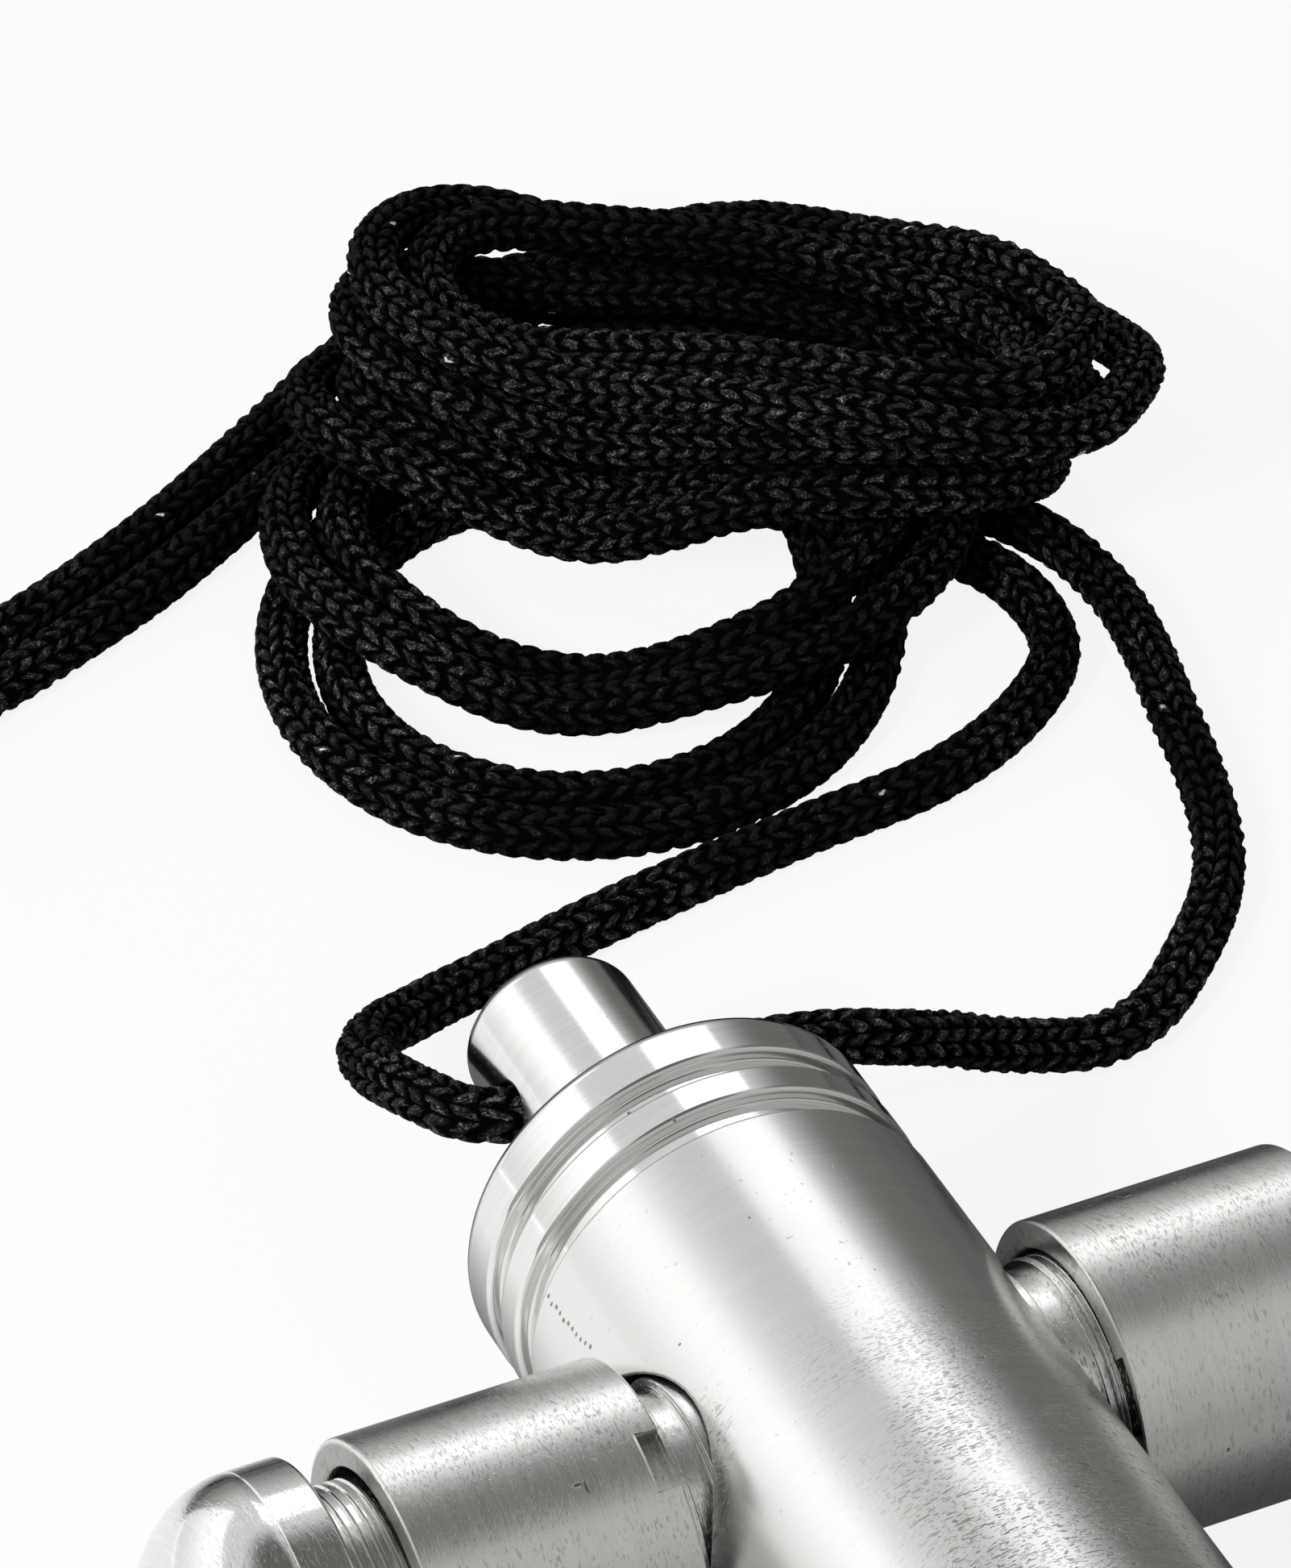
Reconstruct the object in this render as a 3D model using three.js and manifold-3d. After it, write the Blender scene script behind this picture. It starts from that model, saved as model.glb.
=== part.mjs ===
// Samba whistle: a thick barrel, two stubby side tubes with domed tuning plugs, a turned cap with a
// cross-drilled lug, a tapered mouthpiece, and a knitted neck cord wound into a loose hank.
// Millimetres. The whistle lies on a table at z = 0: +Y runs along the barrel from the mouthpiece
// to the cap, +X along the right side tube, +Z up. The origin lies under the crossing of the axes.

import * as THREE from "three";
import { mergeVertices } from "three/addons/utils/BufferGeometryUtils.js";
import Module from "manifold-3d";

const wasm = await Module();
wasm.setup();

// Fits
const SEAT_GAP = 0.3; // between pieces that are pressed or screwed together
const SLIDE_GAP = 0.5; // between a tuning plug's stem and its tube
const SEAL_GAP = 0.2; // between a seal ring and what it touches

// Barrel
const BARREL_DIAMETER = 25;
const BARREL_WALL = 2;
const BARREL_ABOVE = 14.9; // from the side tubes' axis up to the cap
const BARREL_BELOW = 26; // from the side tubes' axis down to the mouthpiece

// Cap
const CAP_GROOVE_WIDTH = 1.4;
const CAP_GROOVE_DEPTH = 0.8;
const CAP_LOWER_BEAD = 2.3;
const CAP_UPPER_BEAD = 2.5;
const CAP_BEAD_ROUND = 0.35;
const CAP_SHOULDER_ROUND = 1.1;
const CAP_STEM_CLEAR = 1.1; // from the side ports up to the cap's stem

// Lug for the cord
const LUG_DIAMETER = 10.6;
const LUG_LENGTH = 15.9;
const LUG_END_ROUND = 1.3;
const LUG_BORE = 4.8;
const LUG_BORE_FROM_END = 6.6;
const LUG_STEM_DIAMETER = 6;
const LUG_STEM_LENGTH = 4;

// Mouthpiece
const MOUTH_LENGTH = 13.5;
const MOUTH_TAPER_LENGTH = 6.5;
const MOUTH_TIP_DIAMETER = 18;
const MOUTH_TIP_THICKNESS = 9;
const MOUTH_TIP_ROUND = 1;
const MOUTH_SWELL = 2; // how full the beak's flanks are
const MOUTH_SLOT_WIDTH = 11.5;
const MOUTH_SLOT_HEIGHT = 3.4;
const MOUTH_STEM_LENGTH = 5;
const MOUTH_STEM_WALL = 2;

// Side tubes, measured outward from the barrel's axis
const TUBE_DIAMETER = 18.8;
const TUBE_WALL = 1.6;
const TUBE_LENGTH = 15;
const TUBE_EDGE = 0.25; // chamfer on the tubes' edges
const WINDOW_LENGTH = 1.5;
const WINDOW_WIDTH = 3.4;
const POCKET_WIDTH = 4.8;
const POCKET_DEPTH = 1.4;
const POCKET_LIP = 0.45;
const LEFT_WINDOW_ANGLE = 25; // degrees from straight up, towards the mouthpiece
const RIGHT_WINDOW_ANGLE = 235;

// Necks between the barrel and the side tubes
const NECK_COLLAR_DIAMETER = 15;
const NECK_WAIST_DEPTH = 0.5;
const NECK_COLLAR_PROUD = 0.4; // how far the collar shows outside the barrel's port
const NECK_STUB_DIAMETER = 9;
const NECK_STUB_LENGTH = 2.4;
const WINDWAY_DIAMETER = 6;

// Fipple plugs
const FIPPLE_RING = 0.5;
const FIPPLE_GROOVE = 0.4;
const FIPPLE_GROOVE_DEPTH = 0.45;
const FIPPLE_LENGTH = 3.8;
const CHANNEL_DEPTH = 1.3;

// Domed tuning plugs
const KNOB_STANDOFF = 3.1; // gap from the tube's end to the dome's band
const KNOB_BAND = 2.8;
const KNOB_DOME = 7.3;
const KNOB_STEM_CLEAR = 0.6; // from the fipple plug to the stem when the dome is pushed home
const KNOB_EDGE = 0.3;
const FINGER_HOLE = 5;
const SEAL_SECTION = 1.5;
const SEAL_FROM_STEM_END = 1.6;

// Neck cord
const CORD_DIAMETER = 3;
const CORD_PITCH = 3.5; // least distance between the middles of two strands
const CORD_JOINT_GAP = 0.3;
const CORD_PAIR = 3.5; // spacing of the doubled strands in the hank
const CORD_BEND = 18; // bending radius of the cord over what it crosses
const CORD_STEP = 5; // length of one straight facet along a free stretch
const CORD_SIDES = 8;
const HANK_SIDES = 6;
const HANK_STEPS = 24; // facets in one turn of the hank
const HANK_ROUND = 0.35; // how gently the long sides of a turn run into its ends
const HANK_START = -0.06; // in turns, where the free stretches run into the hank
const HANK_END = 4.72;
const HANK_DESCENT = 38; // length of the last fall from the top of the hank to the table
const CORD_NEAR = 12; // points this near along a strand don't rest on each other
const KNOT_LENGTH = 11;
const KNOT_THICKNESS = 8;

// The cord is laid out on the table in axes turned from the whistle's own about Z
const LAYOUT_TURN = THREE.MathUtils.degToRad(-25.2);

// Turns of the hank, from the table up: middle of the turn, half length, half depth and tilt
const HANK_TURNS = [
  { middle: [-15.5, 86], halfLength: 16.5, halfDepth: 17.5, tilt: 0 },
  { middle: [-13.5, 94.5], halfLength: 18.5, halfDepth: 15, tilt: -8 },
  { middle: [-9.5, 102], halfLength: 21.5, halfDepth: 9.5, tilt: -12 },
  { middle: [-7, 103.8], halfLength: 21, halfDepth: 9.5, tilt: -16 },
  { middle: [-5, 103], halfLength: 22.5, halfDepth: 10, tilt: -21 },
];

// Free stretches from the lug's bore to the hank: places on the table and heights of the cord's middle
const RUN_RIGHT = [
  [-9, 32.4, 12.5], [-5, 34.3, 11.9], [-1, 36.2, 10.2], [3.4, 38.6, 6.8], [7.7, 42.2, 2.9],
  [11.6, 44.9, 1.5], [15.3, 47, 1.5], [18.5, 50.3, 1.5], [21, 55.7, 1.5], [22.7, 61.1, 1.5],
  [23.1, 66, 1.5], [22.4, 72.3, 1.5], [20.9, 79.3, 1.5], [19.6, 85.2, 1.5], [17.8, 90.6, 1.5],
  [14.6, 95.8, 1.5], [9.8, 99.8, 1.5], [3.5, 102.8, 1.5],
];
const RUN_LEFT = [
  [-19.1, 28, 12.5], [-21.5, 28.5, 11.8], [-23.6, 30.6, 10.4], [-25.9, 34.2, 8.2], [-27.3, 39, 5.9],
  [-26.8, 43.2, 4.4], [-24.9, 46.8, 3.2], [-22.6, 50.2, 2.3], [-19.8, 53.4, 1.7], [-16, 57, 1.5],
  [-8.9, 62.3, 1.5], [-1.6, 67.2, 1.5], [6.5, 72.5, 1.5], [11.6, 78.5, 1.5], [14, 85, 1.5],
  [11.8, 91.5, 1.5], [6, 96.5, 1.5], [0.5, 99.2, 1.5],
];

// Tails from the top of the hank, down behind it, under its left end and out to the knot
const TAIL_OUTER = [
  [19.5, 100.5], [17, 107.5], [11, 114], [3, 119.5], [-6, 123.8], [-15, 125.6], [-24, 122.6],
  [-30.6, 115.8], [-35, 108.6], [-37.3, 104.8], [-41.1, 98.8], [-44.9, 93.6], [-48.8, 88.9],
  [-53, 84.6], [-58, 80],
];
const TAIL_INNER = [
  [15.8, 101], [13.2, 106], [7.5, 111.8], [0, 116.5], [-8, 120.4], [-15, 121.8], [-22, 118.4],
  [-27.4, 112], [-31.8, 106.5], [-34.4, 102.6], [-38.3, 96.6], [-42, 91.4], [-45.9, 86.7],
  [-49.8, 82.4], [-54.1, 78.1],
];

// Values that follow from the driving dimensions
const barrelRadius = BARREL_DIAMETER / 2;
const boreRadius = barrelRadius - BARREL_WALL;
const axisHeight = barrelRadius;
const tubeRadius = TUBE_DIAMETER / 2;
const tubeBore = tubeRadius - TUBE_WALL;
const tubeStart = barrelRadius + SEAT_GAP;
const tubeEnd = tubeStart + TUBE_LENGTH;
const capStart = BARREL_ABOVE;
const capTop = capStart + 2 * CAP_GROOVE_WIDTH + CAP_LOWER_BEAD + CAP_UPPER_BEAD + CAP_SHOULDER_ROUND;
const lugStart = capTop + SEAT_GAP;
const lugEnd = lugStart + LUG_LENGTH;
const lugBoreAt = lugEnd - LUG_BORE_FROM_END;
const collarRadius = NECK_COLLAR_DIAMETER / 2;
const portRadius = collarRadius + SEAT_GAP;
const fippleStart = tubeStart - FIPPLE_RING - FIPPLE_GROOVE;
const fippleEnd = fippleStart + FIPPLE_LENGTH;
const cordRadius = CORD_DIAMETER / 2;

// Facets round the turned pieces
const ROUND = 40;
const SMALL_ROUND = 28;

// Finishes
const satin = { color: 0xc9c8c6, roughness: 0.34, metalness: 1 };
const polished = { color: 0xdedddb, roughness: 0.12, metalness: 1 };
const rubber = { color: 0x1c1c1c, roughness: 0.8, metalness: 0 };
const yarn = { color: 0x0d0d0e, roughness: 0.85, metalness: 0 };

// A closed solid from a geometry, with shared corners merged and empty triangles left out
function solid(geometry) {
  const bare = geometry.clone();
  bare.deleteAttribute("normal");
  bare.deleteAttribute("uv");
  const merged = mergeVertices(bare, 1e-4);
  const corners = merged.index.array;
  const triangles = [];
  for (let i = 0; i < corners.length; i += 3) {
    const [a, b, c] = [corners[i], corners[i + 1], corners[i + 2]];
    if (a !== b && b !== c && c !== a) {
      triangles.push(a, b, c);
    }
  }
  const mesh = new wasm.Mesh({
    numProp: 3,
    vertProperties: Float32Array.from(merged.attributes.position.array),
    triVerts: Uint32Array.from(triangles),
  });
  return new wasm.Manifold(mesh);
}

function geometryOf(manifold) {
  const mesh = manifold.getMesh();
  const geometry = new THREE.BufferGeometry();
  geometry.setAttribute("position", new THREE.BufferAttribute(Float32Array.from(mesh.vertProperties), 3));
  geometry.setIndex(new THREE.BufferAttribute(Uint32Array.from(mesh.triVerts), 1));
  geometry.computeVertexNormals();
  return geometry;
}

function piece(name, manifold, finish) {
  const mesh = new THREE.Mesh(geometryOf(manifold), new THREE.MeshStandardMaterial(finish));
  mesh.name = name;
  return mesh;
}

// A body turned about +Y from a profile of [radius, height] points
function turned(profile, facets = ROUND) {
  const points = profile.map(([radius, height]) => new THREE.Vector2(radius, height));
  return solid(new THREE.LatheGeometry(points, facets));
}

// A quarter round between two ends of an outline, from one direction of its circle to another
function arc(middle, radius, from, to, steps = 5) {
  const points = [];
  for (let i = 0; i <= steps; i += 1) {
    const angle = THREE.MathUtils.degToRad(from + ((to - from) * i) / steps);
    points.push([middle[0] + radius * Math.cos(angle), middle[1] + radius * Math.sin(angle)]);
  }
  return points;
}

function cylinder(radius, from, to, facets = ROUND) {
  return turned([[0, from], [radius, from], [radius, to], [0, to]], facets);
}

function block(size, middle) {
  const geometry = new THREE.BoxGeometry(...size);
  geometry.translate(...middle);
  return solid(geometry);
}

// A block on the skin of a side tube, turned about the tube's own axis from straight up
function skinBlock(width, from, to, inner, outer, angle) {
  const geometry = new THREE.BoxGeometry(width, to - from, outer - inner);
  geometry.translate(0, (from + to) / 2, (inner + outer) / 2);
  geometry.rotateY(THREE.MathUtils.degToRad(angle));
  return solid(geometry);
}

// Reach past a face, so that a cut comes clear of it
const PAST = 1;

function barrel() {
  const tube = turned([
    [boreRadius, -BARREL_BELOW], [barrelRadius, -BARREL_BELOW],
    [barrelRadius, BARREL_ABOVE - SEAT_GAP], [boreRadius, BARREL_ABOVE - SEAT_GAP],
    [boreRadius, -BARREL_BELOW],
  ]);
  const port = new THREE.CylinderGeometry(portRadius, portRadius, BARREL_DIAMETER + 2 * PAST, ROUND);
  port.rotateZ(Math.PI / 2);
  return tube.subtract(solid(port));
}

function topCap() {
  const stemRadius = boreRadius - SEAT_GAP;
  const stemEnd = portRadius + CAP_STEM_CLEAR;
  const neck = barrelRadius - CAP_GROOVE_DEPTH;
  const lowerBead = capStart + CAP_GROOVE_WIDTH;
  const upperGroove = lowerBead + CAP_LOWER_BEAD;
  const upperBead = upperGroove + CAP_GROOVE_WIDTH;
  const shoulder = upperBead + CAP_UPPER_BEAD;
  const round = CAP_BEAD_ROUND;
  const body = turned([
    [0, stemEnd], [stemRadius, stemEnd], [stemRadius, capStart],
    [neck, capStart], [neck, lowerBead],
    ...arc([barrelRadius - round, lowerBead + round], round, -90, 0, 2),
    ...arc([barrelRadius - round, upperGroove - round], round, 0, 90, 2),
    [neck, upperGroove], [neck, upperBead],
    ...arc([barrelRadius - round, upperBead + round], round, -90, 0, 2),
    ...arc([barrelRadius - CAP_SHOULDER_ROUND, shoulder], CAP_SHOULDER_ROUND, 0, 90, 4),
    [0, capTop],
  ]);
  const socket = LUG_STEM_DIAMETER / 2 + SEAT_GAP;
  return body.subtract(cylinder(socket, capTop - LUG_STEM_LENGTH - SEAT_GAP, capTop + PAST, SMALL_ROUND));
}

function lanyardLug() {
  const radius = LUG_DIAMETER / 2;
  const stem = LUG_STEM_DIAMETER / 2;
  const post = turned([
    [0, capTop - LUG_STEM_LENGTH], [stem, capTop - LUG_STEM_LENGTH], [stem, lugStart], [radius, lugStart],
    ...arc([radius - LUG_END_ROUND, lugEnd - LUG_END_ROUND], LUG_END_ROUND, 0, 90),
    [0, lugEnd],
  ], SMALL_ROUND);
  const bore = new THREE.CylinderGeometry(LUG_BORE / 2, LUG_BORE / 2, LUG_DIAMETER + 2 * PAST, SMALL_ROUND);
  bore.rotateZ(Math.PI / 2);
  bore.translate(0, lugBoreAt, 0);
  return post.subtract(solid(bore));
}

function mouthpiece() {
  const top = -BARREL_BELOW - SEAT_GAP;
  const tip = top - MOUTH_LENGTH;
  const taper = top - MOUTH_TAPER_LENGTH;
  const tipRadius = MOUTH_TIP_DIAMETER / 2;
  const stemRadius = boreRadius - SEAT_GAP;
  const chamber = stemRadius - MOUTH_STEM_WALL;
  const body = turned([
    [0, tip], ...arc([tipRadius - MOUTH_TIP_ROUND, tip + MOUTH_TIP_ROUND], MOUTH_TIP_ROUND, -90, 0, 4),
    [tipRadius, taper], [barrelRadius, top], [stemRadius, top], [stemRadius, top + MOUTH_STEM_LENGTH],
    [0, top + MOUTH_STEM_LENGTH],
  ]);
  const side = new THREE.Shape();
  const half = MOUTH_TIP_THICKNESS / 2;
  side.moveTo(tip - PAST, half);
  side.lineTo(tip - PAST, -half);
  side.lineTo(tip, -half);
  side.quadraticCurveTo(taper, -half - MOUTH_SWELL, top, -barrelRadius - PAST);
  side.lineTo(top + MOUTH_STEM_LENGTH + PAST, -barrelRadius - PAST);
  side.lineTo(top + MOUTH_STEM_LENGTH + PAST, barrelRadius + PAST);
  side.lineTo(top, barrelRadius + PAST);
  side.quadraticCurveTo(taper, half + MOUTH_SWELL, tip, half);
  const beak = new THREE.ExtrudeGeometry(side, {
    depth: BARREL_DIAMETER + 2 * PAST, bevelEnabled: false, curveSegments: 10,
  });
  beak.translate(0, 0, -barrelRadius - PAST);
  beak.rotateX(Math.PI / 2);
  beak.rotateZ(Math.PI / 2);
  const slotTop = top - MOUTH_TAPER_LENGTH / 2;
  const slot = block(
    [MOUTH_SLOT_WIDTH, slotTop - tip + 2 * PAST, MOUTH_SLOT_HEIGHT],
    [0, (slotTop + tip) / 2, 0],
  );
  const hollow = cylinder(chamber, slotTop, top + MOUTH_STEM_LENGTH + PAST);
  return body.intersect(solid(beak)).subtract(slot).subtract(hollow);
}

// The side tubes' pieces are made standing on +Y, which is then turned to point along the tube

function neck() {
  const radius = collarRadius - NECK_WAIST_DEPTH;
  const inside = Math.sqrt(boreRadius ** 2 - collarRadius ** 2) - NECK_COLLAR_PROUD;
  const collarEnd = Math.sqrt(barrelRadius ** 2 - collarRadius ** 2) + NECK_COLLAR_PROUD;
  const end = fippleStart - SEAT_GAP;
  const stub = NECK_STUB_DIAMETER / 2;
  const bore = WINDWAY_DIAMETER / 2;
  return turned([
    [bore, inside], [collarRadius, inside], [collarRadius, collarEnd], [radius, collarEnd], [radius, end],
    [stub, end], [stub, end + NECK_STUB_LENGTH], [bore, end + NECK_STUB_LENGTH], [bore, inside],
  ]);
}

function fipple(angle) {
  const radius = tubeBore - SEAT_GAP;
  const bore = NECK_STUB_DIAMETER / 2 + SEAT_GAP;
  const low = collarRadius - FIPPLE_GROOVE_DEPTH;
  const ringEnd = fippleStart + FIPPLE_RING;
  const plug = turned([
    [bore, fippleStart], [collarRadius, fippleStart], [collarRadius, ringEnd], [low, ringEnd],
    [low, tubeStart], [radius, tubeStart], [radius, fippleEnd], [bore, fippleEnd], [bore, fippleStart],
  ]);
  const floor = radius - CHANNEL_DEPTH;
  return plug.subtract(skinBlock(WINDOW_WIDTH, tubeStart, fippleEnd + PAST, floor, tubeRadius, angle));
}

function sideTube(angle) {
  const edge = TUBE_EDGE;
  const tube = turned([
    [tubeBore, tubeStart], [tubeRadius - edge, tubeStart], [tubeRadius, tubeStart + edge],
    [tubeRadius, tubeEnd - edge], [tubeRadius - edge, tubeEnd], [tubeBore, tubeEnd], [tubeBore, tubeStart],
  ]);
  const window = skinBlock(
    WINDOW_WIDTH, tubeStart - PAST, tubeStart + WINDOW_LENGTH, tubeBore - PAST, tubeRadius + PAST, angle,
  );
  const pocket = skinBlock(
    POCKET_WIDTH, tubeStart - PAST, tubeStart + POCKET_DEPTH, tubeBore - PAST, tubeRadius - POCKET_LIP,
    angle + 180,
  );
  return tube.subtract(window).subtract(pocket);
}

const sealRadius = tubeBore - SEAL_GAP - SEAL_SECTION / 2;
const stemStart = fippleEnd + KNOB_STANDOFF + KNOB_STEM_CLEAR;
const sealAt = stemStart + SEAL_FROM_STEM_END + SEAL_SECTION / 2 + SEAL_GAP;

function knob() {
  const stem = tubeBore - SLIDE_GAP;
  const radius = tubeRadius; // the dome is as wide as the tube it slides in
  const band = tubeEnd + KNOB_STANDOFF;
  const domeStart = band + KNOB_BAND;
  const hole = FINGER_HOLE / 2;
  const floor = sealRadius - SEAL_SECTION / 2 - SEAL_GAP;
  const halfGroove = SEAL_SECTION / 2 + SEAL_GAP;
  const dome = [];
  const steps = 9;
  const last = Math.acos(hole / radius);
  for (let i = 0; i <= steps; i += 1) {
    const angle = (last * i) / steps;
    dome.push([radius * Math.cos(angle), domeStart + KNOB_DOME * Math.sin(angle)]);
  }
  return turned([
    [hole, stemStart], [stem - KNOB_EDGE, stemStart], [stem, stemStart + KNOB_EDGE],
    [stem, sealAt - halfGroove], [floor, sealAt - halfGroove], [floor, sealAt + halfGroove],
    [stem, sealAt + halfGroove], [stem, band], [radius - KNOB_EDGE, band], [radius, band + KNOB_EDGE],
    ...dome, [hole, stemStart],
  ]);
}

function seal() {
  const ring = arc([sealRadius, sealAt], SEAL_SECTION / 2, 0, 360, 8);
  ring[ring.length - 1] = ring[0];
  return turned(ring, SMALL_ROUND);
}

// The doubled cord: both strands are laid from the lug to the knot, and each part of a strand lies on
// the table or on what was laid before it

const restHeight = cordRadius;

// A stretched round: a circle drawn out into two long sides that run gently into its ends
function stretched(share) {
  return (share * Math.sqrt(1 + HANK_ROUND ** 2)) / Math.sqrt(share ** 2 + HANK_ROUND ** 2);
}

// The middle of the doubled strand after so many turns, each turn easing into the next
function hankMiddle(turns) {
  const place = THREE.MathUtils.clamp(turns - 0.5, 0, HANK_TURNS.length - 1);
  const index = Math.min(Math.floor(place), HANK_TURNS.length - 2);
  const ease = THREE.MathUtils.smoothstep(place - index, 0, 1);
  const [lower, upper] = [HANK_TURNS[index], HANK_TURNS[index + 1]];
  const mix = (a, b) => THREE.MathUtils.lerp(a, b, ease);
  const halfLength = mix(lower.halfLength, upper.halfLength);
  const halfDepth = mix(lower.halfDepth, upper.halfDepth);
  const tilt = THREE.MathUtils.degToRad(mix(lower.tilt, upper.tilt));
  const radius = Math.min(halfLength, halfDepth);
  const angle = Math.PI / 2 + 2 * Math.PI * turns;
  const [across, along] = [Math.cos(angle), Math.sin(angle)];
  const point = new THREE.Vector2(
    radius * across + (halfLength - radius) * stretched(across),
    radius * along + (halfDepth - radius) * stretched(along),
  );
  point.rotateAround(new THREE.Vector2(), tilt);
  point.x += mix(lower.middle[0], upper.middle[0]);
  point.y += mix(lower.middle[1], upper.middle[1]);
  return point;
}

// One strand of the pair, beside the middle line: outside for +1, inside for -1
function hankPoint(turns, side) {
  const nudge = 1e-3;
  const along = hankMiddle(turns + nudge).sub(hankMiddle(turns - nudge)).normalize();
  const point = hankMiddle(turns);
  const offset = (side * CORD_PAIR) / 2;
  return new THREE.Vector3(point.x + offset * along.y, point.y - offset * along.x, restHeight);
}

// The points of a whole strand in the order that they are laid
function strandRoute(side, run, tail) {
  const up = new THREE.Vector3(0, 0, 1);
  const inLug = new THREE.Vector3(0, lugBoreAt, axisHeight).applyAxisAngle(up, -LAYOUT_TURN);
  const out = new THREE.Vector3(side, 0, 0).applyAxisAngle(up, -LAYOUT_TURN);
  const route = [inLug, inLug.clone().addScaledVector(out, LUG_DIAMETER / 4)];
  run.forEach((point) => route.push(new THREE.Vector3(...point)));
  const first = route.length;
  const steps = Math.round((HANK_END - HANK_START) * HANK_STEPS);
  for (let i = 0; i <= steps; i += 1) {
    route.push(hankPoint(HANK_START + i / HANK_STEPS, side));
  }
  const last = route.length - 1;
  tail.forEach(([x, y]) => route.push(new THREE.Vector3(x, y, restHeight)));
  return { route, first, last };
}

// Points a millimetre apart along a strand, each with the time at which it was laid, in turns
const RUN_PACE = 100; // millimetres of a free stretch that count as one turn
const TAIL_LAID = -2; // the tails lie under all the rest

function laidStrand(side, run, tail) {
  const { route, first, last } = strandRoute(side, run, tail);
  const curve = new THREE.CatmullRomCurve3(route);
  const span = route.length - 1;
  const points = [];
  const fine = 40;
  let length = 0;
  let previous = curve.getPoint(0);
  points.push({ at: previous, share: 0 });
  for (let i = 1; i <= span * fine; i += 1) {
    const share = i / fine;
    const next = curve.getPoint(share / span);
    length += next.distanceTo(previous);
    previous = next;
    if (length >= points.length) {
      points.push({ at: next, share });
    }
  }
  const startOfHank = points.findIndex((point) => point.share >= first);
  const endOfHank = points.findIndex((point) => point.share >= last);
  points.forEach((point, index) => {
    const turns = HANK_START + (point.share - first) / HANK_STEPS;
    if (index < startOfHank) {
      point.laid = HANK_START - (startOfHank - index) / RUN_PACE;
    } else if (index <= endOfHank) {
      point.laid = turns;
    } else {
      point.laid = index <= endOfHank + HANK_DESCENT ? HANK_END : TAIL_LAID;
    }
  });
  return { points, startOfHank, endOfHank };
}

// Raise every point to where the cord lies on what is under it, bending no tighter than it can
function settle(strands) {
  const all = strands.flatMap((strand) => strand.points);
  const least = all.map((point) => point.at.z);
  const apart = 0.14; // in turns: what was laid later than this lies on top
  const reachOf = (upper, lower) => Math.hypot(upper.at.x - lower.at.x, upper.at.y - lower.at.y);
  const supports = all.map((upper, own) => all
    .map((lower, index) => ({ index, lower, reach: reachOf(upper, lower) }))
    .filter(({ index }) => Math.abs(index - own) > CORD_NEAR)
    .filter(({ lower, reach }) => reach < CORD_PITCH && lower.laid < upper.laid - apart)
    .map(({ index, reach }) => ({ index, lift: Math.sqrt(CORD_PITCH ** 2 - reach ** 2) })));
  const reachOfBend = 32;
  const passes = 14;
  const easings = 8;
  const beside = 2; // neighbours on each side that a dip is eased over
  let heights = least.slice();
  for (let pass = 0; pass < passes; pass += 1) {
    const raised = least.map((height, index) => supports[index]
      .reduce((top, { index: under, lift }) => Math.max(top, heights[under] + lift), height));
    heights = [];
    let offset = 0;
    strands.forEach(({ points }) => {
      let line = points.map((point, index) => {
        let top = 0;
        const from = Math.max(0, index - reachOfBend);
        const to = Math.min(points.length - 1, index + reachOfBend);
        for (let near = from; near <= to; near += 1) {
          top = Math.max(top, raised[offset + near] - (near - index) ** 2 / (2 * CORD_BEND));
        }
        return top;
      });
      for (let easing = 0; easing < easings; easing += 1) {
        line = line.map((height, index) => {
          const near = line.slice(Math.max(0, index - beside), index + beside + 1);
          const mean = near.reduce((sum, value) => sum + value, 0) / near.length;
          return near.length > 2 * beside ? Math.max(height, mean) : height;
        });
      }
      heights.push(...line);
      offset += points.length;
    });
  }
  all.forEach((point, index) => {
    point.at.z = heights[index];
  });
}

// The least clear gap between points of the strands that aren't neighbours along the cord
function leastGap(strands) {
  let least = Infinity;
  strands.forEach((one, first) => strands.forEach((other, second) => {
    one.points.forEach((a, i) => other.points.forEach((b, j) => {
      const bothInLug = i < CORD_NEAR && j < CORD_NEAR;
      if (first < second || (first === second && j > i + CORD_NEAR)) {
        least = Math.min(least, bothInLug ? Infinity : a.at.distanceTo(b.at) - CORD_DIAMETER);
      }
    }));
  }));
  return least;
}

// A round tube along part of a strand, from one distance along it to another
function cordTube(strand, from, to, sides, step) {
  const line = strand.points.map((point) => point.at);
  const place = (distance) => {
    const index = Math.min(Math.floor(distance), line.length - 2);
    return line[index].clone().lerp(line[index + 1], distance - index);
  };
  const steps = Math.round((to - from) / step);
  const points = [];
  for (let i = 0; i <= steps; i += 1) {
    points.push(place(from + ((to - from) * i) / steps));
  }
  const section = new THREE.Shape();
  for (let i = 0; i < sides; i += 1) {
    const angle = (2 * Math.PI * (i + 0.5)) / sides;
    const corner = [cordRadius * Math.cos(angle), cordRadius * Math.sin(angle)];
    if (i === 0) {
      section.moveTo(...corner);
    } else {
      section.lineTo(...corner);
    }
  }
  section.closePath();
  const extrudePath = new THREE.CatmullRomCurve3(points);
  return solid(new THREE.ExtrudeGeometry(section, { steps, extrudePath }));
}

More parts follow.
